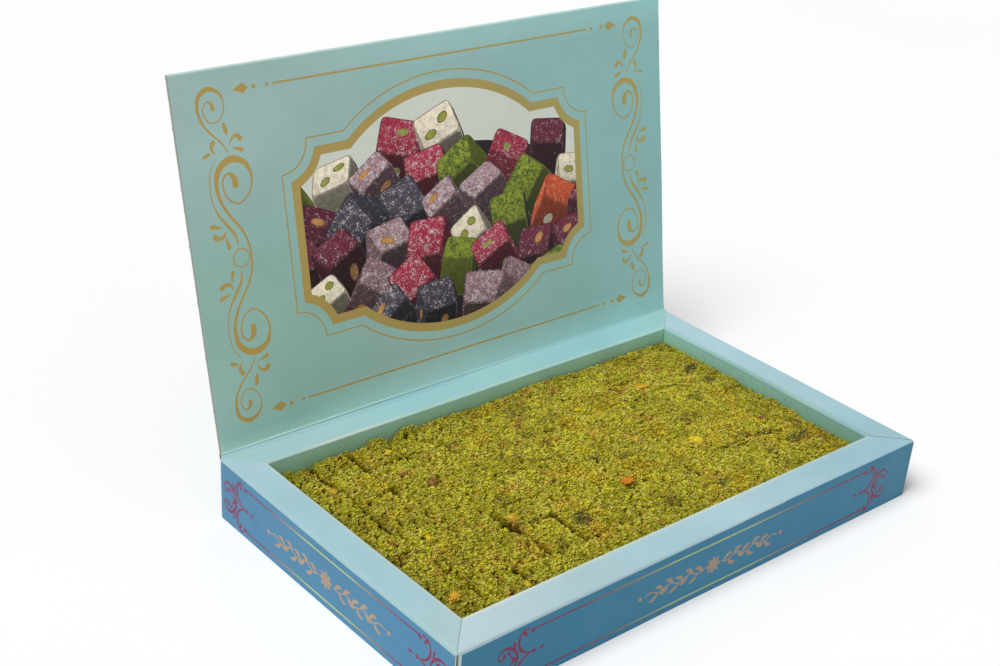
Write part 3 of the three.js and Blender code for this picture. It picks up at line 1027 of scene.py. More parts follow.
def lid_bow(point):
    """Slight warp of the lid, with the nicks in its sides and the ripple of its free edge."""
    offset = point - CREASE
    up = offset.dot(UP_LID)
    across = point.x
    drift = noise.noise(Vector((across / 90, up / 80, 4.2)))
    moved = point + BEHIND_LID * ((LID_WARP * drift + LID_BACK) * min(1, up / 40))
    lower = part_way(TOP_IN, share_of(across, -WIDTH / 2, WIDTH / 2))
    moved -= UP_LID * (lower * share_of(up, LID_LENGTH - 8, LID_LENGTH))
    moved.x += drawn_in(across, up)
    if up > LID_LENGTH - 2:
        moved += UP_LID * (TOP_RIPPLE * (noise.noise(Vector((across / 2.6, 1.7, 0))) - 0.5))
    if abs(across) > WIDTH / 2 - 0.01:
        down = LID_LENGTH - up
        nearest = min(abs(down - nick) for nick in NICKS)
        reach = NICK_REACH * max(0, 1 - nearest / NICK_WIDTH)
        ripple = SIDE_RIPPLE * (noise.noise(Vector((0, up / 3.1, math.copysign(5, across)))) - 1)
        moved.x += math.copysign(reach + ripple, across)
    return moved


# Where painted light makes the lid lighter: by how much, between which places down it and which across it
LID_PAINTED_LIGHT = (
    (0.15, (16, 6), (60, 140)),
    (0.06, (105, 150)),
    (0.2, (160, 171), (45, 95), (300, 275)),
    (0.14, (172, 178)),
    (0.14, (172, 178), (90, 60)),
)


def lid_blue(u, v):
    """The lid's pale blue, with painted light and shade: greener and darker to the right, painted shade low
    on the left, painted light at head and foot.
    """
    glow = 1
    for gain, down, *across in LID_PAINTED_LIGHT:
        glow += gain * share_of(v, *down) * math.prod(share_of(u, *ends) for ends in across)
    low_left = share_of(u, 120, 60) * share_of(v, 40, 90)
    colour = mix(LID_LEFT, LID_RIGHT, share_of(u, 0, WIDTH))
    return times(times(colour, glow), LOW_LEFT_PAINTED_SHADE, low_left)


def make_lid():
    """The lid: artwork inside, a plainer one outside, raw sides and a folded free edge."""
    card = Card()
    half = WIDTH / 2
    top = LID_LENGTH - LID_EDGE
    across = steps_between(-half, half, 2.5)
    near_nicks = [LID_LENGTH - n + d for n in NICKS for d in (-NICK_WIDTH, 0, NICK_WIDTH)]
    up = steps_between(LID_FOOT, top, 2.5, sorted(near_nicks))
    outline = [(a, LID_FOOT) for a in across]
    outline += [(half, u) for u in up[1:]]
    outline += [(a, top) for a in across[-2::-1]]
    outline += [(-half, u) for u in up[-2:0:-1]]

    inside = Artwork([(a + half, LID_LENGTH - u) for a, u in outline], Ink(CYAN_LID, shade=lid_blue), 6)
    draw_lid_inside(inside)
    card.printed(inside, lambda u, v: lid_point(u - half, LID_LENGTH - v, 0))

    outside = Artwork([(half - a, LID_LENGTH - u) for a, u in outline], Ink(BLUE), 6)
    draw_lid_outside(outside)
    card.printed(outside, lambda u, v: lid_point(half - u, LID_LENGTH - v, LID_THICKNESS))

    fold = arc(LID_EDGE, top, LID_EDGE, 180, 0, 8)
    for number, ((b0, u0), (b1, u1)) in enumerate(zip(fold, fold[1:])):
        for a0, a1 in zip(across, across[1:]):
            corners = [(a0, u0, b0), (a1, u0, b0), (a1, u1, b1), (a0, u1, b1)]
            colour = mix(lid_blue(a0 + half, 0), PAPER, 0.3) if number < 4 else BLUE
            card.plain([lid_point(*c) for c in corners], colour)
    for side in (-half, half):
        card.plain([lid_point(side, u, b) for b, u in fold], RAW_LID_IN_SHADE, Card.RAW)
        for u0, u1 in zip(up, up[1:]):
            corners = [(side, u0, 0), (side, u1, 0), (side, u1, LID_THICKNESS), (side, u0, LID_THICKNESS)]
            card.plain([lid_point(*c) for c in corners], RAW_LID_IN_SHADE, Card.RAW)
    for a0, a1 in zip(across, across[1:]):
        foot = [(a0, 0), (a1, 0), (a1, LID_THICKNESS), (a0, LID_THICKNESS)]
        card.plain([lid_point(a, LID_FOOT, b) for a, b in foot], CYAN_LID)
    card.build("lid_card", "lid", "lid", lid_bow)


def draw_lid_outside(art):
    """The outside in the walls' blue: red and gold lines, scrolls and a plain medallion."""
    red, gold = Ink(RED), Ink(GOLD)
    draw_scroll_columns(art, gold)
    draw_lines(art, red)
    art.area(frame_outline(BAND_OUTER + 2), gold)
    art.area(frame_outline(BAND_OUTER + 4), Ink(BLUE))
    middle_u, middle_v = FRAME_MIDDLE
    for ring, petals, reach, size in ((0, 16, 23, 8.4), (1, 8, 12.5, 6.2)):
        for petal in range(petals):
            angle = 2 * math.pi * (petal + ring / 2) / petals
            place = (middle_u + reach * math.cos(angle), middle_v + reach * math.sin(angle))
            art.dot(*place, size, Ink(TAN) if ring else red, 0.36, angle, 16)
    art.dot(middle_u, middle_v, 4.2, gold, sides=20)
    for side in (-1, 1):
        for i in range(3):
            art.dot(middle_u + side * (38 + 7 * i), middle_v, 2.2 - 0.5 * i, gold)


# Inside of the crease: a fillet of card from the rim up to the lid's face. Towards the left end a dark
# line is painted on the sheet there, the shadow in the crevice between rim and lid, and a pale line over
# it, partly worn card and partly painted highlight. CREASE_SHADE gives the painted light on it by its
# share of the way round.
CREASE_UP = (2.5, 3.1)  # how far it reaches up the lid, at the left and at the right
CREASE_OUT = (0.9, 2.1)  # how far it reaches over the rim, at the left and at the right
CREASE_LIFT = 0.05  # how far its lower edge stands off the rim
CREASE_BEND = (CREASE.y - 0.15, HEIGHT + CREASE_LIFT + 0.2)  # the corner that its curve rounds off
CREASE_SKIN = 0.22  # its thickness
CREASE_STEPS = 22
CREASE_SHADE = ((0, 0.17, 0.35, 0.5, 0.6, 0.7, 0.85, 1), (1.08, 1.05, 1.13, 1.25, 1.22, 1.12, 0.98, 0.98))
# how dark the painted shadow in the crevice between rim and lid is
CREASE_PAINTED_SHADOW = 0.28
# the pale line over it, partly worn card and partly painted highlight: how strong, and its tint
CREASE_WORN_HIGHLIGHT = 0.5
WORN_HIGHLIGHT_TINT = (2.5, 2, 2)
CREASE_LINE = (0.8, 1.3)  # height of the painted shadow line up the lid, at its left end and further right
# how far that pale line lies over the painted shadow line
WORN_HIGHLIGHT_OVER_LINE = 0.87
CREASE_LIT = 0.16  # painted light: how much lighter the curve is below the painted shadow line


def crease_bow(point):
    """The crease's sheet: uneven as the tray is where it lies on it, and drawn in as the lid is above."""
    on_lid = share_of(point.z - CREASE.z, 0, 2.2)
    return wall_bow(point).lerp(point + Vector((drawn_in(point.x, 0), 0, 0)), on_lid)


def crease_ink(across, share, up):
    """Ink of the crease's inside, with its painted light, painted shadow line and pale line of worn card and
    painted highlight, a share of the way round it and a height up the lid.
    """

    def line_at(height, reach):
        return math.exp(-((up - height) / reach) ** 2)

    rim = rim_blue("wall_back", -across, -9)
    blue = mix(rim, lid_blue(across + WIDTH / 2, LID_LENGTH - 3), share_of(share, 0.5, 1))
    line = part_way(CREASE_LINE, share_of(across, -130, -60))
    patchy = 1 + 0.5 * noise.noise(Vector((across / 9, 3.3, 0)))
    left = share_of(across, 70, -60)
    dark = CREASE_PAINTED_SHADOW * patchy * left * line_at(line, 0.24)
    # worn: the pale line, partly worn card and partly painted highlight
    worn = CREASE_WORN_HIGHLIGHT * patchy * share_of(across, 150, -60) ** 1.5 * line_at(line + WORN_HIGHLIGHT_OVER_LINE, 0.3)
    gain = np.interp(share, *CREASE_SHADE) * (1 - dark) * (1 + CREASE_LIT * left * line_at(0.25, 0.4))
    return times(times(blue, float(gain)), WORN_HIGHLIGHT_TINT, worn)


def crease_strip(name, half, bend_at, steps, skin, taper, top, under, end_colour, end):
    """A thin strip of card along the crease, blended from the tray to the lid.

    bend_at gives the points that pull its curve at a place across. top gives the ink at a corner from
    its point and its share of the way round, and under the colour below it from a place across.
    """
    card = Card()
    sections = []
    for a in steps_between(-half, half, 5):
        bend = bend_at(a)
        row = [pulled(bend, k / steps) for k in range(steps + 1)]
        below = []
        for k, p in enumerate(row):
            along = (row[min(k + 1, steps)] - row[max(k - 1, 0)]).normalized()
            depth = skin * (taper if k in (0, steps) else 1)
            below.append(p + Vector((0, -along.z, along.y)) * depth)
        sections.append(row + below[::-1])
    count = len(sections[0])
    for left, right in zip(sections, sections[1:]):
        for k in range(count):
            after = (k + 1) % count
            corners = [left[k], right[k], right[after], left[after]]
            if k < steps:
                shares = (k / steps, k / steps, (k + 1) / steps, (k + 1) / steps)
                card.face(corners, [top(p, share) for p, share in zip(corners, shares)])
            else:
                card.plain(corners, under(left[k].x))
    for section in (sections[0], sections[-1]):
        card.plain(section, end_colour)
    piece = card.build(name, None, None, crease_bow)
    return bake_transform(piece)


def make_crease_inside():
    """Inside of the crease: the pale blue sheet that runs from the back rim onto the lid."""

    def bend_at(a):
        out, up = (part_way(ends, eased(share_of(a, -20, 40))) for ends in (CREASE_OUT, CREASE_UP))
        low = Vector((a, CREASE.y - out, HEIGHT + CREASE_LIFT))
        return low, Vector((a, *CREASE_BEND)), lid_point(a, up, -0.04)

    crease_strip(
        "crease_inside", WIDTH / 2 - 0.4, bend_at, CREASE_STEPS, -CREASE_SKIN, 0.12,
        lambda p, share: crease_ink(p.x, share, p.z - CREASE.z), lambda x: rim_blue("wall_back", -x, -9),
        CYAN_LID, lid_point(0, CREASE_UP[0], 0),
    )


CREASE_BACK_DOWN = 3.2  # how far the outside's strip reaches down the wall
CREASE_BACK_UP = 3.6  # and up the lid
CREASE_BACK_SKIN = 0.25
CREASE_BACK_STEPS = 9


def make_crease_outside():
    """Outside of the crease: the blue sheet that runs from the back wall onto the lid."""

    def bend_at(a):
        low = Vector((a, CREASE.y + 0.3, HEIGHT - CREASE_BACK_DOWN))
        waist = Vector((a, CREASE.y + 0.75, HEIGHT - 0.2))
        knee = Vector((a, CREASE.y + 2.2, HEIGHT + 0.2))
        return low, waist, knee, lid_point(a, CREASE_BACK_UP, LID_THICKNESS + 0.3)

    sheet = mix(BLUE, PAPER, 0.08)
    crease_strip(
        "crease_outside", WIDTH / 2 - 0.5, bend_at, CREASE_BACK_STEPS, CREASE_BACK_SKIN, 0.3,
        lambda p, share: sheet, lambda x: RAW_BOARD, RAW_BOARD,
        lid_point(0, CREASE_BACK_UP - 0.8, LID_THICKNESS),
    )


# ---- Materials


class Nodes:
    """A short way to write a node tree."""

    def __init__(self, name):
        self.material = bpy.data.materials.new(name)
        self.material.use_nodes = True
        self.tree = self.material.node_tree
        self.place = self.add("TexCoord").outputs["Object"]

    def put(self, node, inputs):
        """Gives a node's inputs numbers, vectors, colours or the outputs of other nodes."""
        for key, value in inputs.items():
            socket = node.inputs[key]
            if isinstance(value, bpy.types.NodeSocket):
                self.tree.links.new(value, socket)
            else:
                socket.default_value = (*value, 1) if socket.type == "RGBA" else value

    def add(self, kind, inputs=None, **settings):
        node = self.tree.nodes.new(f"ShaderNode{kind}")
        for name, value in settings.items():
            setattr(node, name, value)
        self.put(node, inputs or {})
        return node

    def attribute(self, name):
        return self.add("Attribute", attribute_name=name)

    def stretched(self, scale):
        """The object's coordinates, stretched."""
        return self.add("Mapping", {"Vector": self.place, "Scale": scale}).outputs["Vector"]

    def noise(self, scale, detail=2.0, roughness=0.5, vector=None):
        inputs = {"Vector": vector or self.place, "Scale": scale, "Detail": detail, "Roughness": roughness}
        return self.add("TexNoise", inputs).outputs["Fac"]

    def cells(self, scale):
        return self.add("TexVoronoi", {"Vector": self.place, "Scale": scale}).outputs["Distance"]

    def span(self, value, low, high, new_low, new_high):
        """A value mapped from one range to another, and clamped."""
        inputs = {"Value": value, "From Min": low, "From Max": high, "To Min": new_low, "To Max": new_high}
        return self.add("MapRange", inputs).outputs["Result"]

    def math(self, operation, a, b):
        return self.add("Math", {0: a, 1: b}, operation=operation).outputs["Value"]

    def mixed(self, share, a, b, blend="MIX"):
        """Two colours mixed. In a colour mix, inputs 6 and 7 are the colours."""
        return self.add("Mix", {0: share, 6: a, 7: b}, data_type="RGBA", blend_type=blend).outputs[2]

    def toned(self, colour, tone):
        """A colour made lighter or darker by a number."""
        grey = self.add("CombineColor", dict.fromkeys(range(3), tone)).outputs["Color"]
        return self.mixed(1.0, colour, grey, "MULTIPLY")

    def bump(self, height, distance, strength, under=None):
        inputs = {"Height": height, "Distance": distance, "Strength": strength}
        if under:
            inputs["Normal"] = under
        return self.add("Bump", inputs).outputs["Normal"]

    def finished(self, inputs):
        """The material, once its shader has these inputs."""
        self.put(self.tree.nodes["Principled BSDF"], inputs)
        return self.material


def card_material(name, picture):
    """Print on coated paper over fluted board: mottled colour, a faint washboard and a soft gloss."""
    nodes = Nodes(name)
    ink = nodes.attribute("ink").outputs["Color"]
    if picture:
        fleck = nodes.attribute("fleck").outputs
        coarse = nodes.math("MULTIPLY", nodes.noise(360, 4, 0.75), 0.45)
        fine = nodes.math("MULTIPLY", nodes.noise(1500, 3, 0.7), 0.55)
        edge = nodes.span(fleck["Alpha"], 0, 1, 0.66, 0.36)
        over = nodes.math("SUBTRACT", nodes.math("ADD", coarse, fine), edge)
        ink = nodes.mixed(nodes.span(over, -0.02, 0.03, 0, 1), ink, fleck["Color"])
        ink = nodes.toned(ink, nodes.span(nodes.noise(420, 4, 0.7), 0.25, 0.75, 0.6, 1.35))
    mottle = nodes.span(nodes.noise(32, 3, 0.55), 0.3, 0.7, 0.965, 1.035)
    grain = nodes.span(nodes.noise(1500, 2, 0.6), 0.3, 0.7, 0.975, 1.025)
    waves = nodes.bump(nodes.noise(45), 0.0004, 0.25)
    flutes = nodes.bump(nodes.noise(1, 0, 0.5, nodes.stretched((620, 30, 12))), 0.00006, 0.5, waves)
    return nodes.finished({
        "Base Color": nodes.toned(ink, nodes.math("MULTIPLY", mottle, grain)),
        "Roughness": nodes.span(nodes.noise(70, 3, 0.6), 0.3, 0.7, 0.36, 0.5),
        "Specular IOR Level": 0.25,
        "Normal": nodes.bump(nodes.noise(2600, 2, 0.6), 0.00002, 0.5, flutes),
    })


def raw_card_material(name, colour=None):
    """Bare board, in its own ink if no colour is given: pressed fibres, specks and a dull surface."""
    nodes = Nodes(name)
    own = colour or nodes.attribute("ink").outputs["Color"]
    fibres = nodes.noise(1, 3, 0.6, nodes.stretched((500, 1400, 2600)))
    specks = nodes.span(nodes.cells(900), 0.05, 0.16, 0.75, 1)
    tone = nodes.math("MULTIPLY", nodes.span(fibres, 0.3, 0.7, 0.82, 1.14), specks)
    return nodes.finished({
        "Base Color": nodes.toned(own, tone),
        "Roughness": 0.88,
        "Normal": nodes.bump(fibres, 0.00012, 0.6),
    })


def nut_material(name, gloss, relief, shine=0.06):
    """Ground nut: the colour of each crumb, broken up by its own grain."""
    nodes = Nodes(name)
    grain = nodes.span(nodes.noise(1500, 3, 0.65), 0.3, 0.7, 0.88, 1.1)
    return nodes.finished({
        "Base Color": nodes.toned(nodes.attribute("tint").outputs["Color"], grain),
        "Roughness": gloss,
        "Specular IOR Level": shine,
        "Normal": nodes.bump(nodes.noise(2600, 2, 0.6), 0.0001, relief),
    })


def floor_material():
    nodes = Nodes("pale_floor")
    tone = nodes.span(nodes.noise(3), 0.3, 0.7, 0.985, 1.0)
    return nodes.finished({"Base Color": nodes.toned(linear(247, 247, 246), tone), "Roughness": 0.9})


PRINTED_CARD = card_material("printed_card", False)
PICTURE_CARD = card_material("printed_picture", True)
RAW_CARD = raw_card_material("raw_board")

# ---- Filling

BED_LOW, BED_HIGH = node_box("lokum_bed")
SIDE_ROOM = 0.25  # what the pistachio keeps clear of the walls
FIELD_STEP = 0.33  # spacing of the fine grid that the coat is worked out on
CORE_EVERY = 2  # the core's mesh takes every second line of it
CORE_SUNK = 0.25  # how far the core lies under the coat
CORE_IN_JOINT = 0.5  # and how much further in an open joint
COAT_DROP = 0.9  # from the solid's surface down to the gaps between clumps
GROUND_SWELLS = ((7, 0.45), (3.1, 0.3), (1.1, 0.22))  # reach and height of the unevenness under them
CLUMPS = 12500
CLUMP_RADIUS = (0.8, 2.1)
CLUMP_RISE = 0.62  # height of a clump, as a share of its radius
CLUMP_LIFT = (-0.6, 0.3)
CLUMP_TONE = (0.9, 1.1)

RELIEF_REACH = 6  # steps of the grid over which a gap between clumps counts as one
SUNK_REACH = 26  # the same for a joint or a pit
PITS = 1900
PIT_RADIUS = (0.7, 2.4)
PIT_DEPTH = (0.9, 2.6)
PIT_SQUEEZE = 0.6  # a pit's half width, as a share of its half length
# how strongly a pit counts in the joint map, which paints shade into it
PIT_PAINTED_SHADE = 0.8
BACK_DROP = (7, 1.7, -78, 38)  # reach and depth of the low back edge, its middle and half length
# Joints between sweets that stand open: from one end to the other, width and depth
OPEN_JOINTS = [
    (-66.8, -12.5, -66.6, -21, 5.4, 5), (-66.4, -20, -65.8, -28, 5, 3.4), (-65.8, -26, -65.4, -34, 5.4, 4.8),
    (-65.4, -36, -64.6, -50, 2.6, 2), (-42, -26, -42.6, -38, 3.6, 3.4), (-42.6, -38, -43.2, -52, 2.4, 2.2),
    (-92, 71, -92, 49, 3.8, 4), (-92, 46, -91.6, 36, 2, 1.6), (-112.6, 71, -113, 52, 3.6, 3.8),
    (-112.6, 50, -111.5, 40, 2.2, 2), (-111.5, 38, -113.5, 3, 3, 2.8), (-90.5, 9, -91.5, 1, 3, 2.8),
    (-91, 34, -92, 27, 3, 2.8), (-86, -51, -85, -65, 3.4, 3.6), (-109, -42, -109.5, -60, 2.2, 1.8),
    (-127, -13, -115, -13.4, 3, 3), (-55, -26, -43, -27.5, 3, 2.8), (-68, 51, -59, 50.4, 2.4, 2.8),
    (68, 48.6, 88, 48, 1.8, 2.2), (74, -35, 92, -32.6, 1.8, 2.4), (92, -32.6, 112, -35, 1.8, 2.4),
    (41.5, -31, 42, -41, 2.6, 2.6), (8.4, 2, 8, -3.5, 3.6, 3.4), (-29.5, 25.5, -26.5, 29, 2, 2.2),
]

# Places where the coat is thin and the dark skins show: middle, half length, half width, turn and
# how bare they are
DARK_PLACES = [
    (120, 39.5, 8, 3.4, 28, 1), (118, 24, 5.4, 4.6, 10, 0.8), (97, 15, 4.6, 4, 0, 0.6),
    (80, 1, 10, 6, 15, 0.5), (113, -44, 11, 5, 5, 0.9), (47, -53, 6, 3.6, 0, 0.9),
    (12, -52, 9, 5, 5, 0.6), (-34, -38, 6.4, 5.6, 20, 0.8), (8, -1, 3, 2.8, 0, 0.9),
    (-3, 22, 4, 3, 70, 0.7), (-4, 36, 8, 7, 0, 0.4), (9, 57, 9, 7, 10, 0.5), (-100, -37, 7, 4, 0, 0.35),
    (-112, 7, 2.6, 4, 0, 0.7), (-109, 14, 2, 3, 0, 0.5), (66, 45, 4, 2.6, 160, 0.6),
    (75, 28, 9, 6, 0, 0.35), (18, 41, 6, 4, 30, 0.4), (100, -33, 9, 1.6, 2, 0.8),
    (-52, -27, 5, 1.6, 0, 0.8), (-58, -52, 4, 2.4, 40, 0.6), (-29, 26, 4, 1.6, 50, 0.8),
    (124, -35, 6, 3.6, 40, 0.6), (42, -41, 3, 2.6, 0, 0.6), (-122, 10, 2.6, 2.4, 0, 0.7),
    (88, -48, 4, 2.6, 20, 0.5),
]
# Places where the coat is browner: middle, half length, half width, turn and how brown
BROWN_PLACES = [
    (-62.5, -26, 3.4, 9, 0, 0.9), (-89, -41, 5, 4, 30, 0.7), (-79, -51, 4, 4, 0, 0.7),
    (-99, -38, 7, 4, 0, 0.6), (-112, -25, 4, 4, 0, 0.5), (-72, -48, 3, 5, 0, 0.6),
    (-87, 56, 4, 3, 0, 0.5), (-73, 60, 4, 3, 0, 0.5), (-71, 25, 6, 5, 30, 0.7), (-80, 39, 4, 4, 0, 0.6),
    (-25, -27, 6, 3, 0, 0.5), (-49, 1, 5, 4, 0, 0.5), (-3, 45, 5, 4, 0, 0.6), (68, 42, 5, 4, 0, 0.7),
    (82, 38, 8, 5, 0, 0.5), (63, -24, 4, 4, 0, 0.6), (-118, -4, 5, 4, 0, 0.6), (80, 4, 7, 4, 0, 0.5),
    (-84, 14, 4, 4, 0, 0.5), (125, 43, 5, 3, 30, 0.5), (-120, -51, 7, 5, 0, 0.5),
    (-33, -54, 5, 3, 0, 0.5), (74, -24, 5, 3, 20, 0.5), (20, 25, 8, 5, 60, 0.4),
]
# Larger bits of nut on top of the coat: middle, half length, half width, turn and colour
NUT_BITS = [
    (6.6, -27, 4, 2.6, 5, "apricot"), (63.8, -18.2, 3.2, 4.4, 20, "gold"),
    (81, 40.2, 4.6, 2.4, 160, "amber"), (67, 42.6, 2, 1.7, 0, "skin"),
    (-60.2, -19.6, 3.4, 2.2, 60, "amber"), (-119.2, -50.6, 3.6, 2.7, 30, "amber"),
    (-34, -54.5, 1.8, 0.9, 10, "amber"), (-36, 40, 2.8, 1.1, 10, "gold"),
    (-75.4, 57.4, 2.4, 1.1, 20, "gold"), (34.6, 39.8, 2, 1.6, 0, "gold"),
    (-25.2, 24.2, 2.2, 1.2, 40, "gold"), (-102.8, -11, 1.6, 2, 10, "gold"),
    (-115.4, 46.6, 1.8, 1.8, 0, "gold"), (39.6, 0.8, 2.1, 1.2, 45, "amber"),
    (-72, 25.8, 3, 2.4, 60, "skin"), (-80.4, 38.8, 1.8, 1.4, 0, "skin"),
    (-3.6, 44.4, 2, 1.3, 30, "skin"), (-118.8, -4.4, 1.9, 1.3, 20, "skin"),
    (112, -21, 1.6, 1.2, 0, "skin"), (-90, -64, 1.9, 1.3, 80, "gold"),
]
NUT_COLOURS = {
    "apricot": linear(212, 138, 40),
    "amber": linear(216, 172, 58),
    "gold": linear(214, 188, 50),
    "skin": linear(150, 106, 56),
}
# Small heaps of crumbs against the back wall: x, y, half length, half width, turn, height
HEAPS = [(-73, 71.5, 6, 5, 0, 3.2), (-53.5, 71.5, 8.5, 5.5, 0, 4), (-127, 71.5, 7, 5, 0, 1.9)]
# Painted shade on the coat at these distances from its sides, where the walls shade it and it is thin:
# left and right, then front and back
SIDE_REACH = (0, 5, 9, 14, 24)
SIDE_PAINTED_SHADES = (
    ((0.66, 0.8, 0.88, 0.98, 1.0), (0.68, 0.74, 0.79, 0.86, 0.99)),
    ((0.8, 0.86, 0.9, 0.95, 1.02), (0.7, 0.74, 0.82, 0.92, 0.98)),
)
MIDDLE_SHADE = 1.035


def soft_noise(draw, xs, ys, scale):
    """Smooth random values from -1 to 1 on a grid, changing over about a scale's distance."""
    u, v = (xs - xs[0]) / scale, (ys - ys[0]) / scale
    lattice = draw.uniform(-1, 1, (int(v[-1]) + 2, int(u[-1]) + 2))
    c, r = u.astype(int), v.astype(int)
    fu, fv = ((t * t * (3 - 2 * t)) for t in (u - c, v - r))
    upper = lattice[r][:, c] * (1 - fu) + lattice[r][:, c + 1] * fu
    lower = lattice[r + 1][:, c] * (1 - fu) + lattice[r + 1][:, c + 1] * fu
    return upper * (1 - fv[:, None]) + lower * fv[:, None]


def roughness(x, y):
    """How rough the coat is at a place: looser towards the front left, smoother at the back right."""
    return np.clip(0.84 - x / 420 - y / 400, 0.56, 1.25)


def blurred(values, reach):
    """Each value's average over a square of neighbours, reach to each side."""
    for _ in range(2):
        sums = np.cumsum(np.pad(values, ((reach + 1, reach), (0, 0)), mode="edge"), axis=0)
        values = ((sums[2 * reach + 1:] - sums[:-2 * reach - 1]) / (2 * reach + 1)).T
    return values


def spread(values, old, new):
    """Rows of values at old places, worked out at new places."""
    return np.array([np.interp(new, old, row) for row in values])


def spot_share(x, y, place):
    """How far a point lies inside a turned ellipse: 1 in the middle, and 0 from the rim outwards."""
    middle_x, middle_y, length, width, turn = place
    turn = math.radians(turn)
    along = (x - middle_x) * math.cos(turn) + (y - middle_y) * math.sin(turn)
    across = (y - middle_y) * math.cos(turn) - (x - middle_x) * math.sin(turn)
    return np.clip(1 - np.hypot(along / length, across / width), 0, 1)


def grid_lines(low, high):
    """Places of the fine grid's lines across the bed."""
    steps = CORE_EVERY * round((high - low) / FIELD_STEP / CORE_EVERY)
    return np.linspace(low + SIDE_ROOM, high - SIDE_ROOM, steps + 1)


class Coat:
    """The pistachio coat on a grid: its height, the tone of its clumps and where it is thin."""

    def __init__(self):
        self.draw = np.random.default_rng(84)
        self.xs, self.ys = grid_lines(BED_LOW.x, BED_HIGH.x), grid_lines(BED_LOW.y, BED_HIGH.y)
        self.grid = np.meshgrid(self.xs, self.ys)
        ground = self.ground() - COAT_DROP
        for scale, height in GROUND_SWELLS:
            ground += height * self.drift(scale)
        depths = self.joint_depths()
        self.joint = np.clip(depths / 2.4, 0, 1)
        ground -= depths + self.back_drop()
        for *place, height in HEAPS:
            ground += height * self.inside(place, 1.7)
        self.stamp_pits(ground)
        self.tone = np.full(ground.shape, 0.8)
        self.height = self.clumped(ground)
        self.relief = blurred(self.height, 1) - blurred(self.height, RELIEF_REACH)
        self.sunk = blurred(self.height, SUNK_REACH) - self.height
        self.thin = self.thin_places()
        self.warmth = self.drift(17) + self.drift(6)
        flecked = self.drift(2.6) + 0.5 * self.drift(9)
        self.brown = np.clip((flecked - 0.45) * 1.7, 0, 0.8)
        for *place, brownness in BROWN_PLACES:
            here = brownness * self.inside(place, 2) * (0.75 + 0.5 * flecked)
            self.brown = np.clip(np.maximum(self.brown, here), 0, 0.9)
        clouds = 0.6 * self.drift(5) + 0.5 * self.drift(13)
        self.tone *= (1 + COAT_DRIFT * clouds) * self.side_painted_shade()

    def drift(self, scale):
        """Smooth random values from -1 to 1 on the grid."""
        return soft_noise(self.draw, self.xs, self.ys, scale)

    def inside(self, place, firmness):
        """1 well inside a turned ellipse, falling to 0 at its rim."""
        return np.clip(spot_share(*self.grid, place) * firmness, 0, 1)

    def window(self, x, y, radius):
        """The part of the grid within a square about a place: its rows and its columns."""
        rows = slice(*np.searchsorted(self.ys, (y - radius, y + radius)))
        return rows, slice(*np.searchsorted(self.xs, (x - radius, x + radius)))

    def ground(self):
        """Heights of the CAD solid's own surface."""
        solid = frame["nodes"]["lokum_bed"].data
        corners = [v.co / MM for v in solid.vertices]
        tree = BVHTree.FromPolygons(corners, [list(p.vertices) for p in solid.polygons])
        down = Vector((0, 0, -1))
        xs, ys = self.xs[::CORE_EVERY], self.ys[::CORE_EVERY]
        coarse = np.empty((len(ys), len(xs)))
        for row, y in enumerate(ys):
            for column, x in enumerate(xs):
                hit = tree.ray_cast(Vector((x, y, BED_HIGH.z + 5)), down)[0]
                coarse[row, column] = hit.z if hit else BED_HIGH.z - 2
        return spread(spread(coarse, xs, self.xs).T, ys, self.ys).T

    def side_painted_shade(self):
        """How dark the coat is painted along its sides: painted shade from the walls, and where the coat is
        thin.
        """
        across, along = (
            np.interp(places - places[0], SIDE_REACH, start) * np.interp(places[-1] - places, SIDE_REACH, end)
            for places, (start, end) in zip((self.xs, self.ys), SIDE_PAINTED_SHADES)
        )
        return MIDDLE_SHADE * along[:, None] * across

    def back_drop(self):
        """How far the coat falls off towards the left half of the back wall."""
        near_wall = np.clip(1 - (self.ys[-1] - self.ys) / BACK_DROP[0], 0, 1)
        along = np.clip(1.6 - np.abs(self.xs - BACK_DROP[2]) / BACK_DROP[3], 0, 1)
        return BACK_DROP[1] * near_wall[:, None] * along

    def joint_depths(self):
        """How deep the open joints are, with ragged sides."""
        x, y = self.grid
        ragged = 0.9 * self.drift(2.2) + 0.5 * self.drift(0.9)
        broken = np.clip(0.85 + 0.55 * self.drift(3.4), 0, 1)
        depths = np.zeros(x.shape)
        for x0, y0, x1, y1, width, depth in OPEN_JOINTS:
            length = math.hypot(x1 - x0, y1 - y0)
            along = ((x - x0) * (x1 - x0) + (y - y0) * (y1 - y0)) / length
            across = np.abs((x - x0) * (y1 - y0) - (y - y0) * (x1 - x0)) / length
            past_end = np.maximum(np.maximum(-along, along - length), 0)
            off = np.hypot(across + ragged, past_end) / (width / 2)
            depths = np.maximum(depths, depth * np.clip(1.6 - 1.6 * off, 0, 1))
        return depths * broken

    def stamp_pits(self, ground):
        """Small ragged pits between the clumps."""
        draw = self.draw
        for _ in range(PITS):
            x, y = part_way(self.xs, draw.random() ** 1.5), part_way(self.ys, draw.random() ** 1.3)
            radius = part_way(PIT_RADIUS, draw.random() ** 2.5)
            depth = draw.uniform(*PIT_DEPTH) * roughness(x, y)
            turn = draw.uniform(0, math.pi)
            near = self.window(x, y, radius)
            pit = (x, y, radius, radius * PIT_SQUEEZE, math.degrees(turn))
            share = np.clip(spot_share(*(values[near] for values in self.grid), pit) * 1.6, 0, 1)
            ground[near] -= depth * share
            self.joint[near] = np.maximum(self.joint[near], PIT_PAINTED_SHADE * depth / PIT_DEPTH[1] * share)

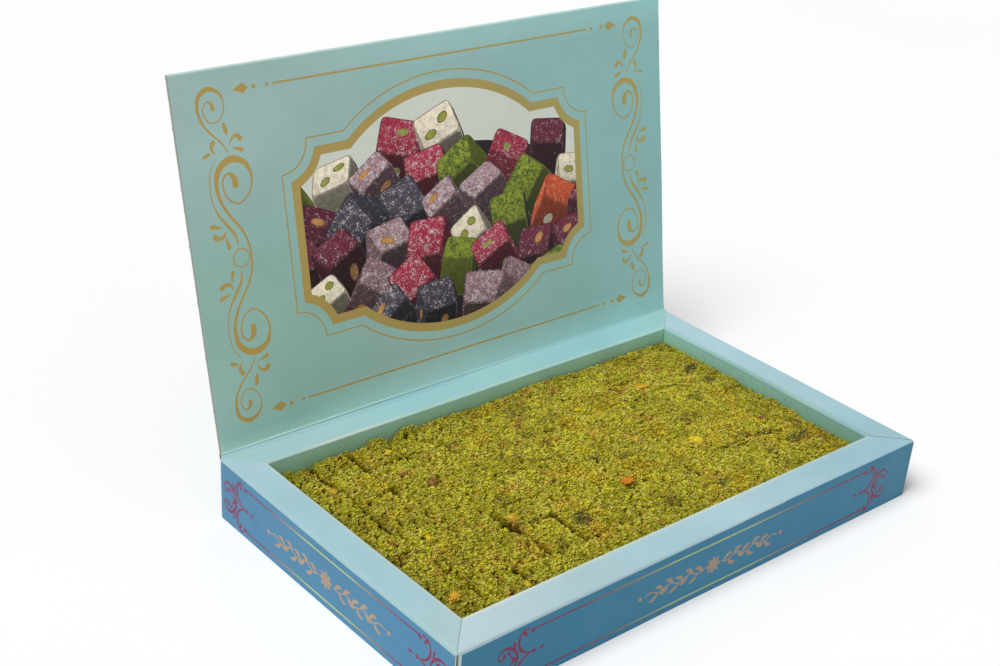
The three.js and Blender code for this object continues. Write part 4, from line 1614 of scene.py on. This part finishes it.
    def clumped(self, ground):
        """The ground with clumps of crumbs on it, as turned domes of many sizes."""
        draw = self.draw
        height = ground.copy()
        for _ in range(CLUMPS):
            x, y = draw.uniform(self.xs[0], self.xs[-1]), draw.uniform(self.ys[0], self.ys[-1])
            radius = part_way(CLUMP_RADIUS, draw.random() ** 1.6)
            squeeze, turn = draw.uniform(0.6, 1), draw.uniform(0, math.pi)
            rough = roughness(x, y)
            lift, tone = draw.uniform(*CLUMP_LIFT) * rough, draw.uniform(*CLUMP_TONE)
            near = rows, columns = self.window(x, y, radius)
            du, dv = self.xs[columns] - x, (self.ys[rows] - y)[:, None]
            along = du * math.cos(turn) + dv * math.sin(turn)
            across = (dv * math.cos(turn) - du * math.sin(turn)) / squeeze
            inside = 1 - (along**2 + across**2) / radius**2
            rise = CLUMP_RISE * radius * rough
            dome = ground[near] + lift + rise * np.sqrt(np.maximum(inside, 0))
            higher = (inside > 0) & (dome > height[near])
            height[near][higher] = dome[higher]
            self.tone[near][higher] = tone
        return height

    def thin_places(self):
        """1 where the coat is worn to dark skins, 0 where it is thick."""
        ragged = 0.5 * self.drift(1.6)
        thin = np.clip((self.drift(11) + 0.6 * self.drift(4) - 1.05) * 2, 0, 0.8)
        for *place, bareness in DARK_PLACES:
            thin = np.maximum(thin, bareness * self.inside(place, 2.4))
        return np.clip(thin * (1 + ragged), 0, 1)

    def places(self, draw, count, margin):
        """Random places on the bed, off its edges by a margin."""
        return [draw.uniform(line[0] + margin, line[-1] - margin, count) for line in (self.xs, self.ys)]

    def at(self, values, x, y):
        """Values at places between the grid's own."""
        column = np.clip((x - self.xs[0]) / (self.xs[1] - self.xs[0]), 0, len(self.xs) - 1.001)
        row = np.clip((y - self.ys[0]) / (self.ys[1] - self.ys[0]), 0, len(self.ys) - 1.001)
        c, r = column.astype(int), row.astype(int)
        fc, fr = column - c, row - r
        low = values[r, c] * (1 - fc) + values[r, c + 1] * fc
        high = values[r + 1, c] * (1 - fc) + values[r + 1, c + 1] * fc
        return low * (1 - fr) + high * fr


def mesh_object(name, points, faces, tints, material):
    """A piece from arrays: points in millimetres, triangles and a colour for each point."""
    mesh = bpy.data.meshes.new(name)
    sides = faces.shape[1]
    mesh.vertices.add(len(points))
    mesh.vertices.foreach_set("co", (points * MM).astype(np.float32).ravel())
    mesh.loops.add(faces.size)
    mesh.loops.foreach_set("vertex_index", faces.astype(np.int32).ravel())
    mesh.polygons.add(len(faces))
    mesh.polygons.foreach_set("loop_start", np.arange(len(faces), dtype=np.int32) * sides)
    mesh.update(calc_edges=True)
    mesh.polygons.foreach_set("use_smooth", np.ones(len(faces), bool))
    layer = mesh.attributes.new("tint", "FLOAT_COLOR", "POINT")
    layer.data.foreach_set("color", np.c_[tints, np.ones(len(tints))].astype(np.float32).ravel())
    mesh.materials.append(material)
    piece = added(name, mesh)
    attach(piece, "tray")
    return piece


CORE_COLOUR = linear(158, 149, 38)


def make_core(coat):
    """The sweets under their crumbs: the coat's grid with sides and a bottom."""
    xs, ys = coat.xs[::CORE_EVERY], coat.ys[::CORE_EVERY]
    rows, columns = len(ys), len(xs)
    heights = coat.height - CORE_SUNK - CORE_IN_JOINT * coat.joint
    top = np.stack([*coat.grid, heights], axis=-1)[::CORE_EVERY, ::CORE_EVERY].reshape(-1, 3)
    number = np.arange(rows * columns).reshape(rows, columns)
    cells = np.stack([number[:-1, :-1], number[:-1, 1:], number[1:, 1:], number[1:, :-1]], -1)
    border = np.concatenate([number[0, :], number[1:, -1], number[-1, -2::-1], number[-2:0:-1, 0]])
    foot = top[border].copy()
    foot[:, 2] = BED_LOW.z
    middle = np.array([[0, (ys[0] + ys[-1]) / 2, BED_LOW.z]])
    points = np.concatenate([top, foot, middle])
    first = rows * columns
    ring = first + np.arange(len(border))
    after = np.roll(ring, -1)
    sides = np.stack([border, ring, after, np.roll(border, -1)], -1)
    hub = np.full(len(ring), len(points) - 1)
    quads = np.concatenate([cells.reshape(-1, 4), sides])
    fans = np.stack([ring, hub, after], -1)
    triangles = np.concatenate([quads[:, [0, 1, 2]], quads[:, [0, 2, 3]], fans])
    draw = np.random.default_rng(33)
    own = np.array(CORE_COLOUR) * draw.uniform(0.75, 1.1, (len(points), 1))
    tints = coat_tints(coat, points[:, 0], points[:, 1], own, draw.random((len(points), 1)))
    core = mesh_object("lokum_core", points, triangles, tints, nut_material("pistachio_bed", 0.95, 0.8))
    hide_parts("lokum_bed")


def ball(subdivisions):
    """Points and triangles of a round solid of radius 1."""
    work = bmesh.new()
    bmesh.ops.create_icosphere(work, subdivisions=subdivisions, radius=1)
    points = np.array([v.co for v in work.verts])
    faces = np.array([[v.index for v in f.verts] for f in work.faces])
    work.free()
    return points, faces


OCTAHEDRON = (
    np.array([[1, 0, 0], [-1, 0, 0], [0, 1, 0], [0, -1, 0], [0, 0, 1], [0, 0, -1]], float),
    np.array([[0, 2, 4], [2, 1, 4], [1, 3, 4], [3, 0, 4], [2, 0, 5], [1, 2, 5], [3, 1, 5], [0, 3, 5]]),
)


CRUMB_TILT = 0.42  # radians, about how far a crumb lies from flat


def random_turns(draw, count):
    """Random rotation matrices that leave most crumbs lying nearly flat."""
    turn, lean_to = draw.uniform(0, 2 * math.pi, (2, count))
    half_tilt = draw.normal(0, CRUMB_TILT, count) / 2
    c, s = np.cos(half_tilt), np.sin(half_tilt)
    w, x = c * np.cos(turn / 2), s * np.cos(lean_to)
    y, z = s * np.sin(lean_to), c * np.sin(turn / 2)
    rows = [
        [1 - 2 * (y * y + z * z), 2 * (x * y - z * w), 2 * (x * z + y * w)],
        [2 * (x * y + z * w), 1 - 2 * (x * x + z * z), 2 * (y * z - x * w)],
        [2 * (x * z - y * w), 2 * (y * z + x * w), 1 - 2 * (x * x + y * y)],
    ]
    return np.array(rows).transpose(2, 0, 1)


def shards(draw, centres, sizes, solid, flat=(1.0, 0.8, 0.6), rough=0.28):
    """Chipped crumbs: jittered copies of a solid, turned and scaled, as one set of points and faces."""
    form, faces = solid
    count = len(centres)
    radii = 1 + draw.uniform(-rough, rough, size=(count, len(form), 1))
    axes = np.array(flat) * draw.uniform(0.8, 1.2, size=(count, 3))
    local = form[None] * radii * axes[:, None, :] * sizes[:, None, None]
    turned = np.einsum("nij,nkj->nki", random_turns(draw, count), local)
    points = (turned + centres[:, None, :]).reshape(-1, 3)
    numbers = (faces[None] + (np.arange(count) * len(form))[:, None, None]).reshape(-1, 3)
    return points, numbers


# Solid, the shares of a crumb's size along its three axes, and how much it shines
CRUMB_SHAPES = {
    "chip": (OCTAHEDRON, (1.05, 0.85, 0.52), 0.06),
    "sliver": (OCTAHEDRON, (1.8, 0.62, 0.4), 0.2),
    "lump": (ball(1), (1.0, 0.85, 0.56), 0.1),
    "grit": (OCTAHEDRON, (1.05, 0.8, 0.6), 0.06),
}
CRUMBS = [
    # kind, shape, count, smallest and largest radius, sunk and raised by, colours
    ("lime", "chip", 16500, (0.46, 0.94), (-0.2, 0.34), ((193, 187, 54), (187, 182, 48), (197, 186, 66))),
    ("green", "chip", 16500, (0.46, 0.9), (-0.25, 0.3), ((182, 182, 42), (176, 178, 38), (186, 179, 48))),
    ("olive", "chip", 9500, (0.42, 0.82), (-0.3, 0.16), ((176, 169, 36), (168, 163, 32), (180, 166, 44))),
    ("skin", "chip", 2600, (0.36, 0.8), (-0.1, 0.26), ((146, 112, 46), (126, 98, 58), (166, 132, 50))),
    ("sliver", "sliver", 5600, (0.46, 0.84), (-0.1, 0.3), ((196, 188, 80), (190, 179, 62), (184, 178, 52))),
    ("lumps", "lump", 6500, (0.6, 1.1), (-0.2, 0.24), ((192, 188, 48), (182, 180, 42), (194, 183, 54))),
    ("joint", "grit", 5200, (0.4, 0.8), (-0.1, 0.4), ((186, 178, 56), (158, 128, 54), (176, 168, 44))),
]
COAT_DRIFT = 0.2  # how far the coat's tone drifts over a few pieces
GAP_PAINTED_SHADE = 0.36  # how dark the painted shade makes the crumbs in the deepest gaps
JOINT_PAINTED_SHADE = 0.2  # the same for an open joint or a pit
OWN_TONE = (0.95, 1.05)
OWN_BLUE = (0.3, 2.1)  # some crumbs are a fuller green, others chalky
MOST_BLUE = 0.42  # most blue to a crumb's green
UNDER_A_BIT = 1.2  # how much deeper a crumb lies under a larger bit of nut
THIN_COAT = linear(76, 70, 42)
WARM_COAT = linear(204, 164, 40)
BROWN_COAT = linear(158, 122, 50)


def coat_tints(coat, x, y, own, chance):
    """Colours of crumbs at places: painted shade in gaps, sunken places, joints and pits, brown here and
    there, dull where worn.
    """
    relief, sunk, joint, tone, thin, warmth, brown = (
        coat.at(values, x, y)[:, None]
        for values in (coat.relief, coat.sunk, coat.joint, coat.tone, coat.thin, coat.warmth, coat.brown)
    )
    # Painted shade: darker in the gaps between clumps, in sunken places and in open joints and pits
    deep = GAP_PAINTED_SHADE + (1 - GAP_PAINTED_SHADE) * np.clip((relief + 0.95) / 0.9, 0, 1)
    shaded = np.clip(1.1 - 0.3 * np.maximum(sunk - 0.35, 0), 0.3, 1) * (1 - (1 - JOINT_PAINTED_SHADE) * joint)
    tints = own * tone * deep * shaded
    tints[:, 2:] *= 1.35 * np.clip(deep * shaded, 0.2, 1) ** 4  # a nut's shadows hold little blue
    light = tints.mean(axis=1, keepdims=True)
    browned = np.clip(brown + 0.35 * joint, 0, 1) * np.clip(2 * chance, 0, 1)
    for share, colour in ((np.clip(warmth * 0.6 - 0.25, 0, 0.4), WARM_COAT), (browned, BROWN_COAT)):
        colour = np.array(colour) / np.mean(colour)
        tints = tints * (1 - share) + colour * light * share * (1 - 0.16 * share)
    worn = thin * np.where(chance < 0.22, 0.15, 0.95)
    return tints * (1 - worn) + np.array(THIN_COAT) * worn * shaded * (0.6 + 0.8 * chance)


def places_in_joints(draw, count):
    """Random places in and beside the open joints, more of them in the longer and wider ones."""
    joints = np.array(OPEN_JOINTS)
    x0, y0, x1, y1, width, _ = joints.T
    length = np.hypot(x1 - x0, y1 - y0)
    pick = draw.choice(len(joints), count, p=length * width / np.sum(length * width))
    along = draw.uniform(-0.05, 1.05, count)
    across = draw.uniform(-0.75, 0.75, count) * width[pick] / length[pick]
    x = x0[pick] + (x1 - x0)[pick] * along - (y1 - y0)[pick] * across
    y = y0[pick] + (y1 - y0)[pick] * along + (x1 - x0)[pick] * across
    return x, y


def on_a_bit(x, y):
    """1 where a larger bit of nut lies bare, and 0 elsewhere."""
    shares = [spot_share(x, y, place[:-1]) for place in NUT_BITS if place[-1] != "skin"]
    return (np.max(shares, axis=0) > 0.25).astype(float)


def make_crumbs(coat):
    """Ground pistachio over the whole bed, in several colours and sizes."""
    draw = np.random.default_rng(21)
    for kind, shape, count, radii, lifts, colours in CRUMBS:
        x, y = coat.places(draw, count, 0.5)
        if shape == "grit":
            x, y = places_in_joints(draw, count)
        sizes = draw.uniform(*radii, count)
        z = coat.at(coat.height, x, y) + draw.uniform(*lifts, count) * roughness(x, y)
        z -= UNDER_A_BIT * on_a_bit(x, y)
        solid, flat, shine = CRUMB_SHAPES[shape]
        points, faces = shards(draw, np.c_[x, y, z], sizes, solid, flat)
        palette = np.array([linear(*c) for c in colours])
        own = palette[draw.integers(0, len(palette), count)] * draw.uniform(*OWN_TONE, (count, 1))
        own[:, 2] *= draw.uniform(*OWN_BLUE, count)
        own[:, 2] = np.minimum(own[:, 2], MOST_BLUE * own[:, 1] * np.minimum(1, own[:, 1] / own[:, 0]))
        tints = coat_tints(coat, x, y, own, draw.random((count, 1)))
        tints = np.repeat(tints, len(solid[0]), axis=0)
        name = f"crumbs_{kind}"
        mesh_object(name, points, faces, tints, nut_material(f"{name}_nut", 0.7, 0.4, shine))


BIT_LIFT = 0.1
CHIPS_ON_BIT = 26
CHIPS_OUT = 1.25  # how far out they lie, as a share of the bit's own reach


def make_nut_bits(coat):
    """The larger bits of nut: a low lump each, rough with chips of the same nut."""
    draw = np.random.default_rng(4)
    form, faces = ball(2)
    points, numbers, tints = [], [], []
    centres, chip_tints = [], []
    for number, (x, y, length, width, turn, colour) in enumerate(NUT_BITS):
        radii = 1 + draw.uniform(-0.2, 0.2, (len(form), 1))
        turned = Matrix.Rotation(math.radians(turn), 3, "Z")
        tilt = Euler((draw.uniform(-0.2, 0.2), draw.uniform(-0.2, 0.2), 0)).to_matrix() @ turned
        rise = 0.3 * (min(length, width) + 1)
        solid = form * radii * np.array((length, width, rise))
        middle = (x, y, coat.at(coat.height, np.array([x]), np.array([y]))[0] + BIT_LIFT)
        points.append(solid @ np.array(tilt).T + middle)
        numbers.append(faces + number * len(form))
        own = np.array(NUT_COLOURS[colour])
        tints.append(own * draw.uniform(0.72, 1.1, (len(form), 1)))
        for _ in range(CHIPS_ON_BIT):
            reach, angle = math.sqrt(draw.random()), draw.uniform(0, 2 * math.pi)
            along, across = length * reach * math.cos(angle), width * reach * math.sin(angle)
            dome = Vector((0, 0, rise * math.sqrt(max(0, 1 - reach**2))))
            centres.append(Vector(middle) + dome + turned @ Vector((along, across, 0)) * CHIPS_OUT)
            chip_tints.append(own * draw.uniform(0.75, 1.16) * (1, 1, draw.uniform(0.6, 1.5)))
    mesh_object(
        "nut_bits", np.concatenate(points), np.concatenate(numbers), np.concatenate(tints),
        nut_material("nut_bits_flesh", 0.75, 0.5),
    )
    sizes = draw.uniform(0.35, 0.8, len(centres))
    chips, chip_faces = shards(draw, np.array(centres), sizes, OCTAHEDRON)
    own = np.repeat(np.array(chip_tints), len(OCTAHEDRON[0]), axis=0)
    mesh_object("nut_chips", chips, chip_faces, own, nut_material("nut_chips_flesh", 0.8, 0.4))


SPECKS = 46  # pale specks of shell and sugar on the coat
SPECK_LIFT = 0.45
WALL_CRUMBS = 16  # crumbs that cling to the inner side of the right wall
WALL_CRUMBS_ALONG = (-62, 64)
WALL_CRUMBS_DOWN = (1.4, 5)  # how far under the rim
WALL_CRUMBS_OFF = 0.34  # from the wall's face to a crumb's middle


def make_specks(coat):
    """Tiny pale specks here and there, and the crumbs on the right wall."""
    draw = np.random.default_rng(9)

    def tiny_bits(name, x, y, z, sizes, colour, material):
        points, faces = shards(draw, np.c_[x, y, z], draw.uniform(*sizes, len(x)), OCTAHEDRON)
        mesh_object(name, points, faces, np.tile(linear(*colour), (len(points), 1)), material)

    x, y = coat.places(draw, SPECKS, 3)
    z = coat.at(coat.height, x, y) + SPECK_LIFT
    shell = nut_material("speck_shell", 0.6, 0.2)
    tiny_bits("pale_specks", x, y, z, (0.25, 0.42), (232, 222, 188), shell)
    y = draw.uniform(*WALL_CRUMBS_ALONG, WALL_CRUMBS)
    z = HEIGHT - part_way(WALL_CRUMBS_DOWN, draw.random(WALL_CRUMBS))
    x = np.full(WALL_CRUMBS, WIDTH / 2 - RIM - WALL_CRUMBS_OFF)
    nut = nut_material("wall_crumb_nut", 0.8, 0.3)
    tiny_bits("wall_crumbs", x, y, z, (0.28, 0.42), (140, 148, 60), nut)


# ---- Stage

FLOOR_REACH = 6.0  # metres


def make_floor():
    mesh = bpy.data.meshes.new("floor")
    corners = [(x * FLOOR_REACH, y * FLOOR_REACH, 0) for x, y in SQUARE]
    mesh.from_pydata(corners, [], [(0, 1, 2, 3)])
    mesh.materials.append(floor_material())
    added("floor", mesh)


def aim(thing, towards, forward):
    """Turns a lamp or a camera so that one of its axes looks along a direction."""
    thing.rotation_mode = "QUATERNION"
    thing.rotation_quaternion = Vector(towards).to_track_quat(forward, "Y")


SUN_TOWARDS = (-0.52, -0.05, 0.85)  # from the box to the light
SUN_STRENGTH = 2.9
SUN_SOFTNESS = math.radians(35)  # as large as a studio's panel
ROOM_LIGHT = 0.3


def make_lights():
    """Soft studio light from the left, over an even room."""
    world = bpy.data.worlds.new("studio")
    world.use_nodes = True
    background = world.node_tree.nodes["Background"].inputs
    background["Color"].default_value = (1, 1, 1, 1)
    background["Strength"].default_value = ROOM_LIGHT
    bpy.context.scene.world = world
    data = bpy.data.lights.new("key", "SUN")
    data.energy = SUN_STRENGTH
    data.angle = SUN_SOFTNESS
    aim(added("key", data), SUN_TOWARDS, "Z")


CAMERA_PLACE = (-0.4686, -0.4601, 0.4181)
CAMERA_AIM = (0.0068, 0.0548, 0.033)
CAMERA_ROLL = math.radians(4.56)
CAMERA_SENSOR, CAMERA_LENS = 36, 55.56
CAMERA_SHIFT = (-0.02, 0.067)


def make_camera():
    data = bpy.data.cameras.new("camera")
    data.sensor_width, data.lens = CAMERA_SENSOR, CAMERA_LENS
    data.shift_x, data.shift_y = CAMERA_SHIFT
    data.clip_start = 0.01
    camera = added("camera", data)
    camera.location = CAMERA_PLACE
    aim(camera, Vector(CAMERA_AIM) - Vector(CAMERA_PLACE), "-Z")
    camera.rotation_quaternion @= Euler((0, 0, CAMERA_ROLL)).to_quaternion()
    bpy.context.scene.camera = camera


for number, wall in enumerate(WALLS):
    make_wall(wall, number)
make_lid()
make_crease_inside()
make_crease_outside()
coat = Coat()
make_core(coat)
make_crumbs(coat)
make_nut_bits(coat)
make_specks(coat)
base = frame["nodes"]["base_panel"]
base.data.materials.clear()
base.data.materials.append(raw_card_material("base_board", RAW_BOARD))
make_floor()
make_lights()
make_camera()
bpy.context.scene.view_settings.view_transform = "Standard"
